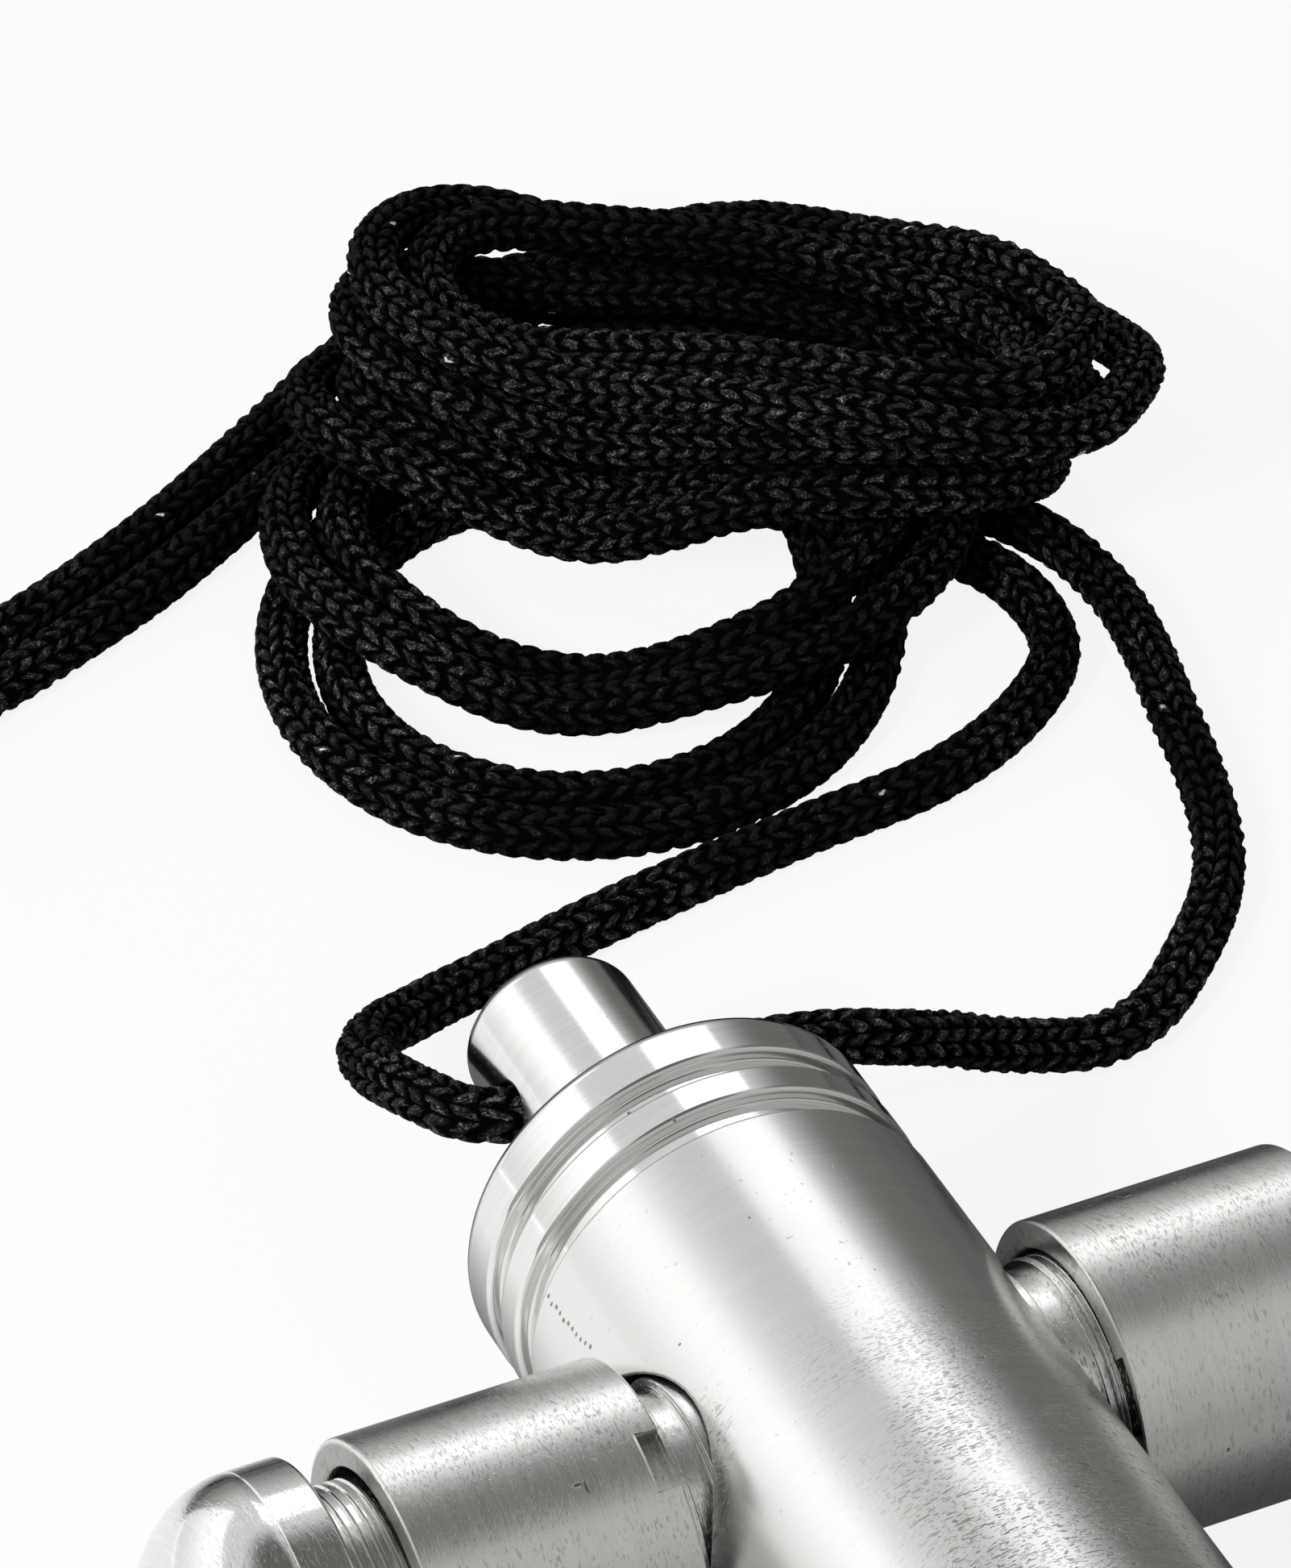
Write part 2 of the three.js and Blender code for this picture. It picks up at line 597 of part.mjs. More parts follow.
function cordPieces() {
  const outer = laidStrand(1, RUN_RIGHT, TAIL_OUTER);
  const inner = laidStrand(-1, RUN_LEFT, TAIL_INNER);
  settle([outer, inner]);
  console.log(`Least gap between the cord's turns: ${leastGap([outer, inner]).toFixed(2)} mm`);
  const half = CORD_JOINT_GAP / 2;
  const pieces = [];
  [[outer, "outer", "right"], [inner, "inner", "left"]].forEach(([strand, place, hand]) => {
    const { points, startOfHank, endOfHank } = strand;
    const length = points.length - 1;
    const tailStart = endOfHank + HANK_DESCENT;
    const hankStep = (endOfHank - startOfHank) / ((HANK_END - HANK_START) * HANK_STEPS);
    console.log(`Strand ${place}: ${length} mm from the lug to the knot`);
    const run = cordTube(strand, half, startOfHank - half, CORD_SIDES, CORD_STEP);
    const coil = cordTube(strand, startOfHank + half, tailStart - half, HANK_SIDES, hankStep);
    const tail = cordTube(strand, tailStart + half, length, CORD_SIDES, CORD_STEP);
    pieces.push(piece(`cord_run_${hand}`, run, yarn));
    pieces.push(piece(`cord_coil_${place}`, coil, yarn));
    pieces.push(piece(`cord_tail_${place}`, tail, yarn));
  });
  pieces.push(knot(outer, inner));
  return pieces;
}

// The knot that ties the two tails together, lying across their ends
function knot(outer, inner) {
  const ends = [outer, inner].map(({ points }) => points[points.length - 1].at);
  const before = [outer, inner].map(({ points }) => points[points.length - 4].at);
  const middle = ends[0].clone().add(ends[1]).multiplyScalar(0.5);
  const along = middle.clone().sub(before[0].clone().add(before[1]).multiplyScalar(0.5)).setZ(0).normalize();
  const ball = new THREE.SphereGeometry(1, 16, 12);
  ball.rotateX(Math.PI / 2);
  ball.scale(KNOT_LENGTH / 2, KNOT_LENGTH / 2, KNOT_THICKNESS / 2);
  middle.addScaledVector(along, KNOT_LENGTH / 2 + CORD_JOINT_GAP);
  ball.translate(middle.x, middle.y, KNOT_THICKNESS / 2);
  return piece("cord_knot", solid(ball), yarn);
}

// One side tube with its neck, fipple plug and tuning plug, pointing along +X or -X
function arm(hand, side, windowAngle) {
  const group = new THREE.Group();
  const angle = side * windowAngle;
  group.add(piece(`${hand}_neck`, neck(), polished));
  group.add(piece(`${hand}_fipple`, fipple(angle), polished));
  group.add(piece(`${hand}_tube`, sideTube(angle), satin));
  group.add(piece(`${hand}_knob`, knob(), polished));
  group.add(piece(`${hand}_seal`, seal(), rubber));
  group.rotation.z = (-side * Math.PI) / 2;
  return group;
}

const body = new THREE.Group();
body.position.z = axisHeight;
body.add(piece("barrel", barrel(), satin));
body.add(piece("top_cap", topCap(), polished));
body.add(piece("lanyard_lug", lanyardLug(), polished));
body.add(piece("mouthpiece", mouthpiece(), satin));
body.add(arm("left", -1, LEFT_WINDOW_ANGLE));
body.add(arm("right", 1, RIGHT_WINDOW_ANGLE));

const cord = new THREE.Group();
cord.rotation.z = LAYOUT_TURN;
cordPieces().forEach((mesh) => cord.add(mesh));

const whistle = new THREE.Group();
whistle.add(body, cord);

export default whistle;
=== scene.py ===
# %% [markdown]
# # A samba whistle on its neck cord
# The whistle is turned from aluminium: a barrel with a cap, a lug and a flat mouthpiece, and two side
# tubes with domed tuning plugs that slide in and out. A black knitted cord runs through the lug, and
# its two strands lie side by side in a loose hank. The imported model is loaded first, as a fixed frame
# in metres, so that each piece made below goes where the model says, with no fitting.

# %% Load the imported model
import math

import bpy
import numpy as np
from mathutils import Matrix, Vector


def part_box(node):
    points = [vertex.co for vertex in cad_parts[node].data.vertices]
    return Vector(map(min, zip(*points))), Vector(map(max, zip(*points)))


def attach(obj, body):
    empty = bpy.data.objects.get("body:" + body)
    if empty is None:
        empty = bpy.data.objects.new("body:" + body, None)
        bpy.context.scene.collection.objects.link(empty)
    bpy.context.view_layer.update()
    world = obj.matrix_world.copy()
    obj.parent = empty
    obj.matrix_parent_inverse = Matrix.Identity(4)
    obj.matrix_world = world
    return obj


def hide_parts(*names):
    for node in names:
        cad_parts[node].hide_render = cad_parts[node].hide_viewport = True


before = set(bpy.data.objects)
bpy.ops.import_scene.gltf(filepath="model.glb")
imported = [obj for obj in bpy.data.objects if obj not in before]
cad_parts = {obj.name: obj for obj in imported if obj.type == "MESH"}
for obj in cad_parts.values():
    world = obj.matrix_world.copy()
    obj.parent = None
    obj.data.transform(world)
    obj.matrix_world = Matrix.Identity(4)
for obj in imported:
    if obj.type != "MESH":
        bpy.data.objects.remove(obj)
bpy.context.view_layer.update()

MM = 0.001


def placed(name, data):
    """A new object in the scene, which shows a mesh, a lamp or a camera."""
    item = bpy.data.objects.new(name, data)
    bpy.context.scene.collection.objects.link(item)
    return item


barrel_low, barrel_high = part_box("barrel")
AXIS_HEIGHT = (barrel_low.z + barrel_high.z) / 2

# %% [markdown]
# ## The camera
# The photograph looks down on the whistle past its mouthpiece, from far away with a long lens, and
# crops it. The direction of sight and the point that it looks at fix the whole framing, so they are
# given as two vectors, and the lens follows from how many pixels a millimetre covers.

# %% Place the camera
SIGHT = Vector((0.33323, 0.70848, -0.62210))
SIGHT_LENGTH = 473.7 * MM
AIM_RIGHT, AIM_UP = -11.25 * MM, 35.94 * MM
FOCAL_PIXELS, IMAGE_HEIGHT = 11000, 1945
SENSOR = 24

view_right = SIGHT.cross(Vector((0, 0, 1))).normalized()
view_up = view_right.cross(SIGHT)
aim = Vector((0, 0, AXIS_HEIGHT)) + AIM_RIGHT * view_right + AIM_UP * view_up
lens = bpy.data.cameras.new("table_camera")
lens.sensor_fit = "VERTICAL"
lens.sensor_height = SENSOR
lens.lens = SENSOR * FOCAL_PIXELS / IMAGE_HEIGHT
lens.clip_start = 0.01
camera = placed("table_camera", lens)
turn = Matrix((view_right, view_up, -SIGHT)).transposed().to_4x4()
camera.matrix_world = Matrix.Translation(aim - SIGHT_LENGTH * SIGHT) @ turn
bpy.context.scene.camera = camera
bpy.context.scene.view_settings.view_transform = "Standard"
print(f"Camera at {[round(x, 3) for x in camera.location]}, lens {lens.lens:.1f} mm")

# %% [markdown]
# ## Writing shader sums in Python
# A finish is a tree of nodes. Wiring it by hand hides the sums in it, so a small class wraps a socket
# and gives it the usual operators: `0.2 + 0.1 * grain` then adds two Math nodes. Every other node comes
# from one method, which sets the node's settings first and its sockets after that.

# %% A socket that can be used in sums
def operator(operation, swapped=False):
    def method(self, other):
        return self.sum(operation, *((other, self) if swapped else (self, other)))
    return method


class Wire:
    def __init__(self, board, socket):
        self.board, self.socket = board, socket

    def sum(self, operation, *values):
        return self.board.node("ShaderNodeMath", {"operation": operation}, dict(enumerate(values)))

    __add__ = __radd__ = operator("ADD")
    __sub__, __rsub__ = operator("SUBTRACT"), operator("SUBTRACT", swapped=True)
    __mul__ = __rmul__ = operator("MULTIPLY")
    __truediv__ = operator("DIVIDE")
    __mod__ = operator("FLOORED_MODULO")
    __pow__ = operator("POWER")
    __gt__ = operator("GREATER_THAN")

    def floor(self):
        return self.sum("FLOOR", self)

    def size(self):
        return self.sum("ABSOLUTE", self)

    def larger(self, other):
        return self.sum("MAXIMUM", self, other)

    def ramp(self, low, high):
        """0 below low, 1 above high, and a smooth step between."""
        sockets = {"Value": self, "From Min": low, "From Max": high}
        return self.board.node("ShaderNodeMapRange", {"interpolation_type": "SMOOTHSTEP"}, sockets)


class Board:
    def __init__(self, tree):
        self.tree = tree
        tree.nodes.clear()

    def node(self, kind, settings=None, sockets=None, out=0):
        made = self.tree.nodes.new(kind)
        for name, value in (settings or {}).items():
            setattr(made, name, value)
        for key, value in (sockets or {}).items():
            if isinstance(value, Wire):
                self.tree.links.new(value.socket, made.inputs[key])
            else:
                made.inputs[key].default_value = value
        return Wire(self, made.outputs[out]) if len(made.outputs) else None

    def parts(self, vector):
        """The three numbers of a vector."""
        return [self.node("ShaderNodeSeparateXYZ", {}, {0: vector}, out) for out in range(3)]

    def vector(self, x, y, z):
        return self.node("ShaderNodeCombineXYZ", {}, {0: x, 1: y, 2: z})

    def noise(self, place, scale, detail, out=0):
        return self.node("ShaderNodeTexNoise", {}, {"Vector": place, "Scale": scale, "Detail": detail}, out)

    def blend(self, share, low, high):
        """A colour between two colours."""
        low, high = (value if isinstance(value, Wire) else (*value, 1) for value in (low, high))
        return self.node("ShaderNodeMix", {"data_type": "RGBA"}, {0: share, 6: low, 7: high}, out=2)

    def bump(self, height, strength, distance):
        sockets = {"Height": height, "Strength": strength, "Distance": distance}
        return self.node("ShaderNodeBump", {}, sockets)

    def principled(self, sockets):
        return self.node("ShaderNodeBsdfPrincipled", {}, sockets)

    def close(self, surface, output="ShaderNodeOutputMaterial"):
        """End the tree with this shader as its surface."""
        self.node(output, {}, {"Surface": surface})


def new_finish(name):
    material = bpy.data.materials.new(name)
    material.use_nodes = True
    return material, Board(material.node_tree)


print("Shader sums are ready")

# %% [markdown]
# ## Black knitted yarn
# The cord is a knitted tube: columns of slanted stitches, each column leaning against its neighbour, so
# that every two columns make a row of V shapes. The shape of the stitches is in the mesh. The finish
# reads the same columns and rows from the UV map, pulls them a little out of line with noise, gives
# each stitch its own tone, and draws the fine threads and the fuzz that lie along it. A painted
# highlight lies on the crown of each stitch, stronger in stretches of painted sheen, and a speck of
# lint hangs here and there. Deep between the stitches, and where two cords touch, painted shade
# darkens the yarn and a shader of plain black is mixed in. A picture of yarn would blur this close,
# and sums never do.

# %% The yarn's finish
STITCH_COLUMNS = 10
STITCH_PITCH = 1.45
STITCH_SLANT = math.radians(42)
CORD_DIAMETER = 3.0
# The yarn's own black, the colour of its painted highlights, and the black of painted shade
YARN_BLACK, YARN_HIGHLIGHT, GAP_SHADE_BLACK = (0.0028, 0.0025, 0.0022), (0.62, 0.61, 0.60), (0.0015, 0.0014, 0.0013, 1)
LINT, LINT_STITCHES = (0.75, 0.74, 0.72), (0.994, 0.996)  # colour, and which of the stitches hold a speck
PULL_ACROSS, PULL_ALONG = 0.7, 0.8  # how far noise pulls the knit out of line, in stitches
SHEEN_EAST, SHEEN_NORTH = 92.5, 132.5  # the place in the noise that the stretches of painted sheen are taken from
column_width = math.pi * CORD_DIAMETER / STITCH_COLUMNS
stitch_shear = column_width / math.tan(STITCH_SLANT) / STITCH_PITCH


def on_stitch(column, row, floor):
    """Which leg of the knit a point is on, how far from its middle, and its row along the slant. The sums
    are the same for sockets and for arrays."""
    leg = floor(column)
    x = column - leg - 0.5
    lean = (leg % 2) * 2 - 1
    return leg, x, row - lean * x * stitch_shear


def yarn_finish(name):
    material, board = new_finish(name)
    place = board.node("ShaderNodeTexCoord", out="UV")
    column, row, _ = board.parts(place)
    pull_across, pull_along, _ = board.parts(board.noise(place, 1.7, 2, out="Color"))
    column = column + (pull_across - 0.5) * PULL_ACROSS
    row = row + (pull_along - 0.5) * PULL_ALONG
    leg, x, phase = on_stitch(column, row, Wire.floor)
    stitch = (phase + 0.5).floor()
    across = phase - stitch
    ends = x * x * 4
    crown = ((1 - across * across * 5.2) * (1 - ends * ends)).ramp(0, 0.95)
    own = board.node(
        "ShaderNodeTexWhiteNoise", {"noise_dimensions": "2D"}, {"Vector": board.vector(leg, stitch, 0)})
    thread = board.noise(board.vector(across * 9 + own * 40, x * 2.4 + row * 0.2, leg * 3.7), 1.6, 4)
    fuzz = board.noise(place, 9, 3)
    patchy = board.noise(place, 2.3, 2).ramp(0.4, 0.62)
    # Painted shade: the yarn darkens where another cord lies close
    room = board.node("ShaderNodeAttribute", {"attribute_name": "unshaded_by_cords"}, out="Fac").ramp(0.05, 0.9)
    east, north, up = board.parts(board.node("ShaderNodeTexCoord", out="Object"))
    # Painted sheen and painted highlight: stretches of cord and each stitch's crown are lit in the colour
    sheen = board.noise(board.vector(east + SHEEN_EAST, north + SHEEN_NORTH, up), 45, 1).ramp(0.38, 0.62)
    light = (crown * crown * thread.ramp(0.3, 0.75) * fuzz.ramp(0.3, 0.7) * (0.45 + 0.55 * own)) ** 1.5
    light = light * room * (0.16 + 0.84 * sheen) * (0.3 + 0.7 * patchy)
    lint = own.ramp(*LINT_STITCHES) * (1 - across * across * 60 - x * x * 30).ramp(0, 0.4) * room
    yarn = board.principled({
        "Base Color": board.blend(lint, board.blend(light, YARN_BLACK, YARN_HIGHLIGHT), LINT),
        "Roughness": 0.62 - 0.25 * thread,
        "Specular IOR Level": 0.07,
        "Normal": board.bump(crown + 0.5 * thread + 0.3 * fuzz, 0.8, 0.15 * MM),
    })
    # Painted shade: plain black mixed in deep between the stitches and where cords touch
    gap = board.node("ShaderNodeBsdfDiffuse", {}, {"Color": GAP_SHADE_BLACK})
    share = crown.ramp(0.05, 0.75) * (0.2 + 0.8 * room)
    board.close(board.node("ShaderNodeMixShader", {}, {0: share, 1: gap, 2: yarn}))
    return material


yarn = yarn_finish("black_knit_yarn")
print(f"Stitches {column_width:.2f} mm wide, one each {STITCH_PITCH} mm")

# %% [markdown]
# ## The cord's route
# One cord goes through the lug, and its two strands lie together from there on. The route has to be the
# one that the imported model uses, so the same points are laid in the same way: from the lug down to the
# table, round the hank's turns, and off to the knot. A Catmull-Rom curve runs through them, because a
# cord has no corners and the curve needs no handles.

# %% Points of the route, in millimetres on the table
LAYOUT_TURN = math.radians(-25.2)
CORD_PITCH, CORD_PAIR, CORD_BEND, CORD_NEAR = 3.5, 3.5, 18, 12
HANK_STEPS, HANK_ROUND, HANK_START, HANK_END = 24, 0.35, -0.06, 4.72
RUN_PACE, HANK_DESCENT, TAIL_LAID = 100, 38, -2
# Each turn of the hank: middle, half length, half depth and tilt
HANK_TURNS = np.array([
    (-15.5, 86, 16.5, 17.5, 0), (-13.5, 94.5, 18.5, 15, -8), (-9.5, 102, 21.5, 9.5, -12),
    (-7, 103.8, 21, 9.5, -16), (-5, 103, 22.5, 10, -21),
])
RUN_RIGHT = [
    (-9, 32.4, 12.5), (-5, 34.3, 11.9), (-1, 36.2, 10.2), (3.4, 38.6, 6.8), (7.7, 42.2, 2.9),
    (11.6, 44.9, 1.5), (15.3, 47, 1.5), (18.5, 50.3, 1.5), (21, 55.7, 1.5), (22.7, 61.1, 1.5),
    (23.1, 66, 1.5), (22.4, 72.3, 1.5), (20.9, 79.3, 1.5), (19.6, 85.2, 1.5), (17.8, 90.6, 1.5),
    (14.6, 95.8, 1.5), (9.8, 99.8, 1.5), (3.5, 102.8, 1.5),
]
RUN_LEFT = [
    (-19.1, 28, 12.5), (-21.5, 28.5, 11.8), (-23.6, 30.6, 10.4), (-25.9, 34.2, 8.2), (-27.3, 39, 5.9),
    (-26.8, 43.2, 4.4), (-24.9, 46.8, 3.2), (-22.6, 50.2, 2.3), (-19.8, 53.4, 1.7), (-16, 57, 1.5),
    (-8.9, 62.3, 1.5), (-1.6, 67.2, 1.5), (6.5, 72.5, 1.5), (11.6, 78.5, 1.5), (14, 85, 1.5),
    (11.8, 91.5, 1.5), (6, 96.5, 1.5), (0.5, 99.2, 1.5),
]
TAIL_OUTER = [
    (19.5, 100.5), (17, 107.5), (11, 114), (3, 119.5), (-6, 123.8), (-15, 125.6), (-24, 122.6),
    (-30.6, 115.8), (-35, 108.6), (-37.3, 104.8), (-41.1, 98.8), (-44.9, 93.6), (-48.8, 88.9),
    (-53, 84.6), (-58, 80),
]
TAIL_INNER = [
    (15.8, 101), (13.2, 106), (7.5, 111.8), (0, 116.5), (-8, 120.4), (-15, 121.8), (-22, 118.4),
    (-27.4, 112), (-31.8, 106.5), (-34.4, 102.6), (-38.3, 96.6), (-42, 91.4), (-45.9, 86.7),
    (-49.8, 82.4), (-54.1, 78.1),
]


def turned_flat(points, angle):
    """Points turned about the vertical."""
    c, s = math.cos(angle), math.sin(angle)
    return np.asarray(points, float) @ np.array([(c, s, 0), (-s, c, 0), (0, 0, 1)])


def stretched(share):
    return share * math.sqrt(1 + HANK_ROUND ** 2) / np.sqrt(share ** 2 + HANK_ROUND ** 2)


def hank_middle(turns):
    """The line between the two strands after so many turns."""
    place = np.clip(turns - 0.5, 0, len(HANK_TURNS) - 1)
    index = np.minimum(place.astype(int), len(HANK_TURNS) - 2)
    ease = np.clip(place - index, 0, 1)[:, None]
    ease = ease * ease * (3 - 2 * ease)
    u, v, length, depth, tilt = (HANK_TURNS[index] * (1 - ease) + HANK_TURNS[index + 1] * ease).T
    radius = np.minimum(length, depth)
    angle = math.pi / 2 + 2 * math.pi * turns
    a = radius * np.cos(angle) + (length - radius) * stretched(np.cos(angle))
    b = radius * np.sin(angle) + (depth - radius) * stretched(np.sin(angle))
    c, s = np.cos(np.radians(tilt)), np.sin(np.radians(tilt))
    return np.stack([u + a * c - b * s, v + a * s + b * c], axis=1)


def hank_points(side):
    turns = HANK_START + np.arange(round((HANK_END - HANK_START) * HANK_STEPS) + 1) / HANK_STEPS
    along = hank_middle(turns + 1e-3) - hank_middle(turns - 1e-3)
    along /= np.linalg.norm(along, axis=1)[:, None]
    flat = hank_middle(turns) + side * CORD_PAIR / 2 * np.stack([along[:, 1], -along[:, 0]], axis=1)
    return np.column_stack([flat, np.full(len(flat), CORD_DIAMETER / 2)])


def smooth_line(points, shares):
    """Points on a Catmull-Rom curve; share 2.5 is half way from the third point to the fourth."""
    padded = np.vstack([2 * points[0] - points[1], points, 2 * points[-1] - points[-2]])
    index = np.minimum(shares.astype(int), len(points) - 2)
    w = (shares - index)[:, None]
    p0, p1, p2, p3 = (padded[index + k] for k in range(4))
    d0, d1, d2 = (np.sqrt(np.linalg.norm(b - a, axis=1))[:, None] for a, b in ((p0, p1), (p1, p2), (p2, p3)))
    start = ((p1 - p0) / d0 - (p2 - p0) / (d0 + d1) + (p2 - p1) / d1) * d1
    end = ((p2 - p1) / d1 - (p3 - p1) / (d1 + d2) + (p3 - p2) / d2) * d1
    square, cube = 3 * (p2 - p1) - 2 * start - end, 2 * (p1 - p2) + start + end
    return p1 + start * w + square * w ** 2 + cube * w ** 3


print(f"{len(hank_points(1))} points in the hank's {HANK_END - HANK_START:.2f} turns")

# %% [markdown]
# A cord laid on a table rests on the table or on what was laid before it. Each point gets the time at
# which it was laid, and is lifted until it clears everything older below it. A lift spreads along the
# cord as a parabola, because a cord doesn't bend sharply. Running this a few times settles the hank.
# A cloth or rope simulation could do the same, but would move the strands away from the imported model.

# %% Lay the two strands and let them settle
lug_low, lug_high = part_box("lanyard_lug")
LUG_RADIUS = (lug_high.x - lug_low.x) / 2 / MM
LUG_BORE_BELOW_END = 6.6
LUG_BORE_AT = lug_high.y / MM - LUG_BORE_BELOW_END
FINE_STEPS = 40  # points on the curve from one point of the route to the next
LAID_APART = 0.14  # turns laid between two points before one rests on the other
BEND_REACH, SETTLE_ROUNDS, EASE_ROUNDS = 32, 14, 8
KNOT_PASS = 6


def lengths_along(line):
    """How far each point of a line is from its start."""
    return np.concatenate([[0], np.cumsum(np.linalg.norm(np.diff(line, axis=0), axis=1))])


def laid_strand(side, run, tail):
    middle = (0, LUG_BORE_AT, AXIS_HEIGHT / MM)
    inside = turned_flat([middle, (side * LUG_RADIUS / 2, *middle[1:])], -LAYOUT_TURN)
    hank = hank_points(side)
    route = np.vstack([inside, run, hank, [(u, v, CORD_DIAMETER / 2) for u, v in tail]])
    first = len(inside) + len(run)
    last = first + len(hank) - 1
    shares = np.arange((len(route) - 1) * FINE_STEPS + 1) / FINE_STEPS
    fine = smooth_line(route, shares)
    length = lengths_along(fine)
    keep = np.searchsorted(length, np.arange(int(length[-1]) + 1))
    points, shares = fine[keep], shares[keep]
    start, end = np.argmax(shares >= first), np.argmax(shares >= last)
    index = np.arange(len(points))
    laid = HANK_START + (shares - first) / HANK_STEPS
    laid = np.where(index < start, HANK_START - (start - index) / RUN_PACE, laid)
    laid = np.where(index > end, HANK_END, laid)
    laid = np.where(index > end + HANK_DESCENT, TAIL_LAID, laid)
    return points, laid


def eased(line):
    """Heights along a strand, raised to where the cord can bend from one lift to the next."""
    wide = np.pad(line, BEND_REACH, constant_values=0)
    line = np.max([
        wide[BEND_REACH + k:BEND_REACH + k + len(line)] - k * k / (2 * CORD_BEND)
        for k in range(-BEND_REACH, BEND_REACH + 1)], axis=0)
    for _ in range(EASE_ROUNDS):
        line[2:-2] = np.maximum(line[2:-2], np.convolve(line, np.full(5, 0.2), "valid"))
    return line


def settle(strands):
    points = np.vstack([points for points, _ in strands])
    laid = np.concatenate([laid for _, laid in strands])
    reach = np.linalg.norm(points[:, None, :2] - points[None, :, :2], axis=2)
    number = np.arange(len(points))
    reach[np.abs(number[:, None] - number) <= CORD_NEAR] = np.inf
    upper, lower = np.nonzero((reach < CORD_PITCH) & (laid < laid[:, None] - LAID_APART))
    lift = np.sqrt(CORD_PITCH ** 2 - reach[upper, lower] ** 2)
    heights = points[:, 2].copy()
    ends = np.cumsum([len(points) for points, _ in strands])[:-1]
    for _ in range(SETTLE_ROUNDS):
        raised = points[:, 2].copy()
        np.maximum.at(raised, upper, heights[lower] + lift)
        heights = np.concatenate([eased(line) for line in np.split(raised, ends)])
    points[:, 2] = heights
    return [turned_flat(line, LAYOUT_TURN) for line in np.split(points, ends)]


def through_knot(line, side):
    """A strand's line, carried on through the knot to its cut end."""
    along = line[-1] - line[-4]
    along /= np.linalg.norm(along)
    aside = side * np.array((along[1], -along[0], 0))
    beyond = [
        line[-1] + KNOT_PASS * on * along + off * aside for on, off in ((1, 0), (1.8, 0.5), (2.6, 2.2))]
    shares = np.linspace(1, 4, 3 * KNOT_PASS + 1)[1:]
    return np.vstack([line, smooth_line(np.array([line[-4], line[-1], *beyond]), shares)])


settled = settle([laid_strand(1, RUN_RIGHT, TAIL_OUTER), laid_strand(-1, RUN_LEFT, TAIL_INNER)])
outer_line, inner_line = (through_knot(line, side) for line, side in zip(settled, (1, -1)))
print(f"Strands {len(outer_line) - 1} and {len(inner_line) - 1} mm, highest {outer_line[:, 2].max():.1f} mm")

# %% [markdown]
# ## The knitted strands
# Seen this close, a smooth tube would never pass for a cord: its edge has to be bumpy with stitches. So
# each strand is a tube with enough points for the stitches to be real shape. Its rings are carried
# along the line without twisting, and each point moves out by the height of the stitch that it is on.
# Each point also keeps how far away the next cord is, because the finish paints shade on the yarn
# where two cords touch.

# %% Make a knitted tube along a line
RING_POINTS = 40
RING_STEP = 0.34
CORE_DEPTH, STITCH_HEIGHT = 0.36, 0.54
CREVICE, OWN_REACH, TIP_LENGTH = 1.3, 9, 1.1


def stitch_height(column, row):
    """How far the yarn stands out of the tube's core, from 0 in the gaps to 1 on a stitch's crown."""
    _, x, phase = on_stitch(column, row, np.floor)
    across = phase - np.floor(phase + 0.5)
    crown = np.sqrt(np.clip(1 - (across / 0.5) ** 2, 0, 1))
    ends = np.clip(1 - np.abs(2 * x) ** 3, 0, 1) ** 0.6
    return crown * (0.3 + 0.7 * ends)


def carried_frames(line):
    """Two directions across a line at each of its points, turned as little as possible."""
    along = np.gradient(line, axis=0)
    along /= np.linalg.norm(along, axis=1)[:, None]
    side = np.empty_like(along)
    side[0] = np.cross(along[0], (0, 0, 1))
    for i in range(1, len(line)):
        side[i] = side[i - 1] - along[i] * (side[i - 1] @ along[i])
        side[i] /= np.linalg.norm(side[i])
    side[0] /= np.linalg.norm(side[0])
    return side, np.cross(along, side)


def unshaded_by_cords(rings, shares, line, lines):
    """How far each point of a tube is from the next cord, from 0 where they touch to 1. The yarn's
    finish paints shade by it.
    """
    room = np.ones(rings.shape[:2])
    for i, ring in enumerate(rings):
        near = [np.empty((0, 3))]
        for other in lines:
            apart = np.linalg.norm(other - ring.mean(axis=0), axis=1)
            if other is line:
                apart[max(0, int(shares[i]) - OWN_REACH):int(shares[i]) + OWN_REACH] = np.inf
            near.append(other[apart < 2 * CORD_DIAMETER])
        near = np.vstack(near)
        if len(near):
            gap = np.linalg.norm(ring[:, None] - near, axis=2).min(axis=1) - CORD_DIAMETER / 2
            room[i] = np.clip(gap / CREVICE, 0, 1)
    return room


def tube_faces(row):
    """The faces between rings of points, and the knit's column and row at each of their corners."""
    first = np.arange(len(row) - 1)[:, None] * RING_POINTS
    k = np.arange(RING_POINTS)
    here, beside = first + k, first + (k + 1) % RING_POINTS
    faces = np.stack([here, beside, beside + RING_POINTS, here + RING_POINTS], axis=-1)
    columns = np.stack([k, k + 1, k + 1, k], axis=-1) * STITCH_COLUMNS / RING_POINTS
    rows = np.column_stack([row[:-1], row[:-1], row[1:], row[1:]])[:, None]
    uv = np.stack(np.broadcast_arrays(columns, rows), axis=-1)
    return faces.reshape(-1, 4).tolist(), uv.reshape(-1, 2)


